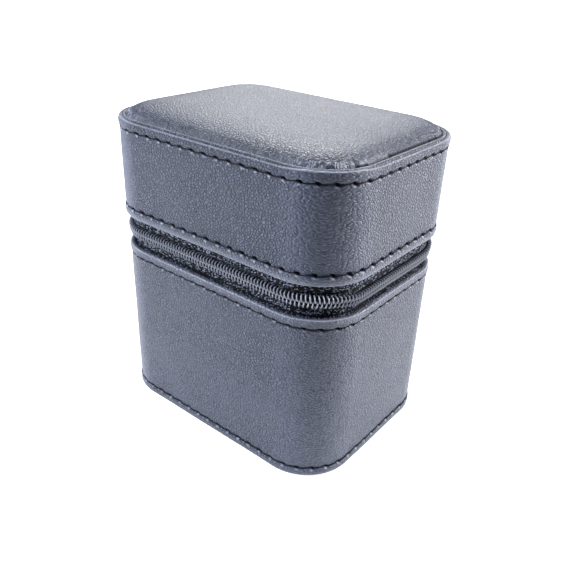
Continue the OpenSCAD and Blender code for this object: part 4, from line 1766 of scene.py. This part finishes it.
@dataclass
class Linings:
    """The covered boards that line the base and the lid, and the panels that stay as packed."""

    layout: Layout
    base_inset: float = 4.0 * MM
    base_thickness: float = 2.0 * MM
    floor_gap: float = 2.2 * MM
    lid_inset: float = 4.5 * MM
    lid_thickness: float = 1.2 * MM
    ceiling_gap: float = 1.4 * MM

    def sleeve(self, node: str, outline: Outline, thickness: float, body: Body,
               finish: bpy.types.Material) -> None:
        """A lining wall with rounded edges that stands for a node."""
        low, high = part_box(node)
        height = high.z - low.z
        section = rounded_section(thickness, height)
        columns = 260
        s = np.arange(columns)[:, None] * outline.length / columns
        sway = 0.05 * MM * np.sin(s * 97 + 3 * np.sin(s * 41))
        off = section[:, 0] - thickness / 2 + sway * (np.abs(section[:, 1]) < 0.4 * height)
        points = outline.sweep(s, off, (low.z + high.z) / 2 + section[:, 1])
        u = np.linspace(0, outline.length, columns + 1)
        shell = Shell.grid(points, u, lengths(section, closed=True), wrap_u=True, wrap_v=True)
        settle(shell.facing_out().build(node + "_velvet", finish), body, Slot.VELVET, node)

    def build(self, finishes: Finishes) -> None:
        """Makes the lining walls and the padded panels, and dresses the nodes that are kept."""
        base = self.layout.base.inset(self.base_inset)
        lid = self.layout.lid.inset(self.lid_inset)
        self.sleeve("base_liner", base, self.base_thickness, Body.BASE, finishes.velvet)
        self.sleeve("lid_liner", lid, self.lid_thickness, Body.LID, finishes.velvet)
        low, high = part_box("floor_pad")
        Pad("floor_pad_velvet", base.inset(self.floor_gap), low.z, high.z, "floor_pad", Body.BASE,
            Slot.VELVET).build(finishes.velvet)
        low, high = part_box("lid_ceiling")
        Pad("lid_ceiling_padded", lid.inset(self.ceiling_gap), high.z, low.z, "lid_ceiling", Body.LID,
            Slot.LINING_FABRIC).build(finishes.lining)
        boards = [(node, Slot.BOARD, finishes.board)
                  for node in ("base_floor", "base_frame", "lid_frame", "lid_board")]
        for node, slot, finish in [("bottom_panel", Slot.BOTTOM_LEATHER, finishes.bottom)] + boards:
            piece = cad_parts[node]
            piece.data.materials.clear()
            piece.data.materials.append(finish)
            log.info("%s is kept as packed", node)


# ---- Studio ----


@dataclass(frozen=True)
class Softbox:
    """An area light that is aimed at the case."""

    name: str
    azimuth: float
    elevation: float
    distance: float
    size: float
    power: float
    colour: Colour = (1.0, 1.0, 1.0)


@dataclass
class Studio:
    """Camera, lights, floor and surroundings.

    Attributes:
        target: the point that the camera looks at.
        azimuth: the way to the camera, in degrees, 0 in front and 90 to the right.
        elevation: how high it stands, in degrees.
        distance: its distance from the target.
        roll: its turn about its own line of sight, in degrees.
        focal: its focal length in mm, on a sensor 36 mm wide.
        ambient: strength of the room's even light.
        floor_glow: strength of the floor's glow beside the case, as the camera sees it.
        floor_bounce: strength of the floor's glow that reaches the case.
        softboxes: the lights.
    """

    target: Vector = field(default_factory=lambda: Vector((12.689, -8.0144, 50.7312)) * MM)
    azimuth: float = 37.6611
    elevation: float = 28.5046
    distance: float = 222.2212 * MM
    roll: float = 2.6592
    focal: float = 39.285
    ambient: float = 0.02
    floor_glow: float = 0.62
    floor_bounce: float = 1.2
    softboxes: tuple[Softbox, ...] = (
        Softbox("window_back_left", 217, 40, 1.1, 0.6, 14.0, (1.0, 1.0, 0.98)),
        Softbox("window_back_right", 140, 18, 1.1, 0.8, 30.0, (1.01, 1.0, 1.05)),
        Softbox("fill_front_left", -45, 14, 1.1, 0.8, 18.2, (0.95, 1.0, 1.13)),
        Softbox("front_left_high", -42, 38, 1.1, 0.45, 7.0, (0.94, 1.0, 1.12)),
        Softbox("front_high", 38, 62, 1.0, 0.6, 1.0, (0.94, 1.0, 1.12)),
    )

    def away(self, azimuth: float, elevation: float) -> Vector:
        """The direction from the case at an azimuth, 0 in front and 90 to the right, and elevation."""
        a, e = math.radians(azimuth), math.radians(elevation)
        return Vector((math.sin(a) * math.cos(e), -math.cos(a) * math.cos(e), math.sin(e)))

    def camera(self) -> None:
        """Places the camera, turned about its own line of sight by the roll."""
        back = self.away(self.azimuth, self.elevation)
        right = (-back).cross(Vector((0, 0, 1))).normalized()
        up = right.cross(-back)
        roll = math.radians(self.roll)
        across = math.cos(roll) * right + math.sin(roll) * up
        upright = -math.sin(roll) * right + math.cos(roll) * up
        data = bpy.data.cameras.new("camera")
        data.lens, data.sensor_width = self.focal, 36.0
        data.clip_start, data.clip_end = 0.01, 20.0
        camera = placed("camera", data)
        turned = Matrix((across, upright, back)).transposed().to_4x4()
        camera.matrix_world = Matrix.Translation(self.target + back * self.distance) @ turned
        bpy.context.scene.camera = camera

    def light(self, box: Softbox) -> None:
        """Adds one softbox."""
        data = bpy.data.lights.new(box.name, "AREA")
        data.energy, data.size, data.color = box.power, box.size, box.colour
        lamp = placed(box.name, data)
        back = self.away(box.azimuth, box.elevation)
        lamp.matrix_world = (Matrix.Translation(self.target + back * box.distance)
                             @ back.to_track_quat("Z", "Y").to_matrix().to_4x4())

    def floor(self) -> None:
        """A wide floor, lit brightest round the case.

        It glows for the camera's own view of it, more further out, so that it is white but still
        takes a faint shadow. What the case sees of it is painted near black from not far in front,
        a painted shade on the camera's side.
        """
        n = Nodes(bpy.data.materials.new("studio_floor"))
        place = n.place()
        away = n.add("ShaderNodeVectorMath", {"operation": "LENGTH"}, {0: place}, "Value")
        towards = tuple(self.away(self.azimuth, 0.0))
        ahead = n.add("ShaderNodeVectorMath", {"operation": "DOT_PRODUCT"}, {0: place, 1: towards}, "Value")
        near = 1 - ahead.step(0.1, 0.16)
        grain = n.noise(place, 3 * MM, 2.0)
        paper = n.mixed(grain, n.matt((0.8, 0.8, 0.8)), n.matt((0.82, 0.82, 0.82)))
        shine = n.mixed(away.step(0.15, 0.6), n.glow(self.floor_glow), n.glow(1.0))
        # Painted shade: towards the camera, past 0.16 m, the floor that the case sees is near black.
        ground = n.mixed(near, n.matt((0.05, 0.05, 0.06)), n.matt((0.81, 0.81, 0.81)))
        bounce = n.mixed(away.step(0.12, 0.4, 1.0, 0.0) * near, n.glow(0.0), n.glow(self.floor_bounce))
        direct = n.add("ShaderNodeLightPath", output="Is Camera Ray")
        finish = n.ended(n.mixed(direct, n.added(ground, bounce), n.added(paper, shine)))
        half, steps = 3.0, np.linspace(-1, 1, 9)
        x, y = np.meshgrid(steps * half, steps * half, indexing="ij")
        sheet = Shell.grid(np.stack([x, y, x * 0], -1), steps, steps)
        sheet.build("studio_floor", finish)

    def surroundings(self) -> None:
        """An even grey room, which the camera sees as white."""
        n = Nodes(bpy.data.worlds.new("studio"))
        room, white = (n.add("ShaderNodeBackground", {}, {"Color": rgba(WHITE), "Strength": strength})
                       for strength in (self.ambient, 1.0))
        seen = n.add("ShaderNodeLightPath", output="Is Camera Ray")
        bpy.context.scene.world = n.ended(n.mixed(seen, room, white), "ShaderNodeOutputWorld")

    def build(self) -> None:
        """Sets up the whole studio."""
        self.camera()
        for box in self.softboxes:
            self.light(box)
        self.floor()
        self.surroundings()
        bpy.context.scene.view_settings.view_transform = "Standard"


def main() -> None:
    """Builds the case piece by piece, then the studio round it."""
    logging.basicConfig(level=logging.INFO, format="%(name)s: %(message)s")
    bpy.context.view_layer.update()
    finishes = Finishes.made()
    layout = Layout.from_frame()
    LeatherWall.of_base(layout).build(finishes, Body.BASE)
    LeatherWall.of_lid(layout).build(finishes, Body.LID)
    Zip(layout).build(finishes)
    Hardware().build(finishes)
    Cushion.from_frame(layout).build(finishes)
    Hinge(layout).build(finishes)
    Linings(layout).build(finishes)
    Pillow(*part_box("pillow_cover")).build(finishes)
    Studio().build()


if __name__ == "__main__":
    main()
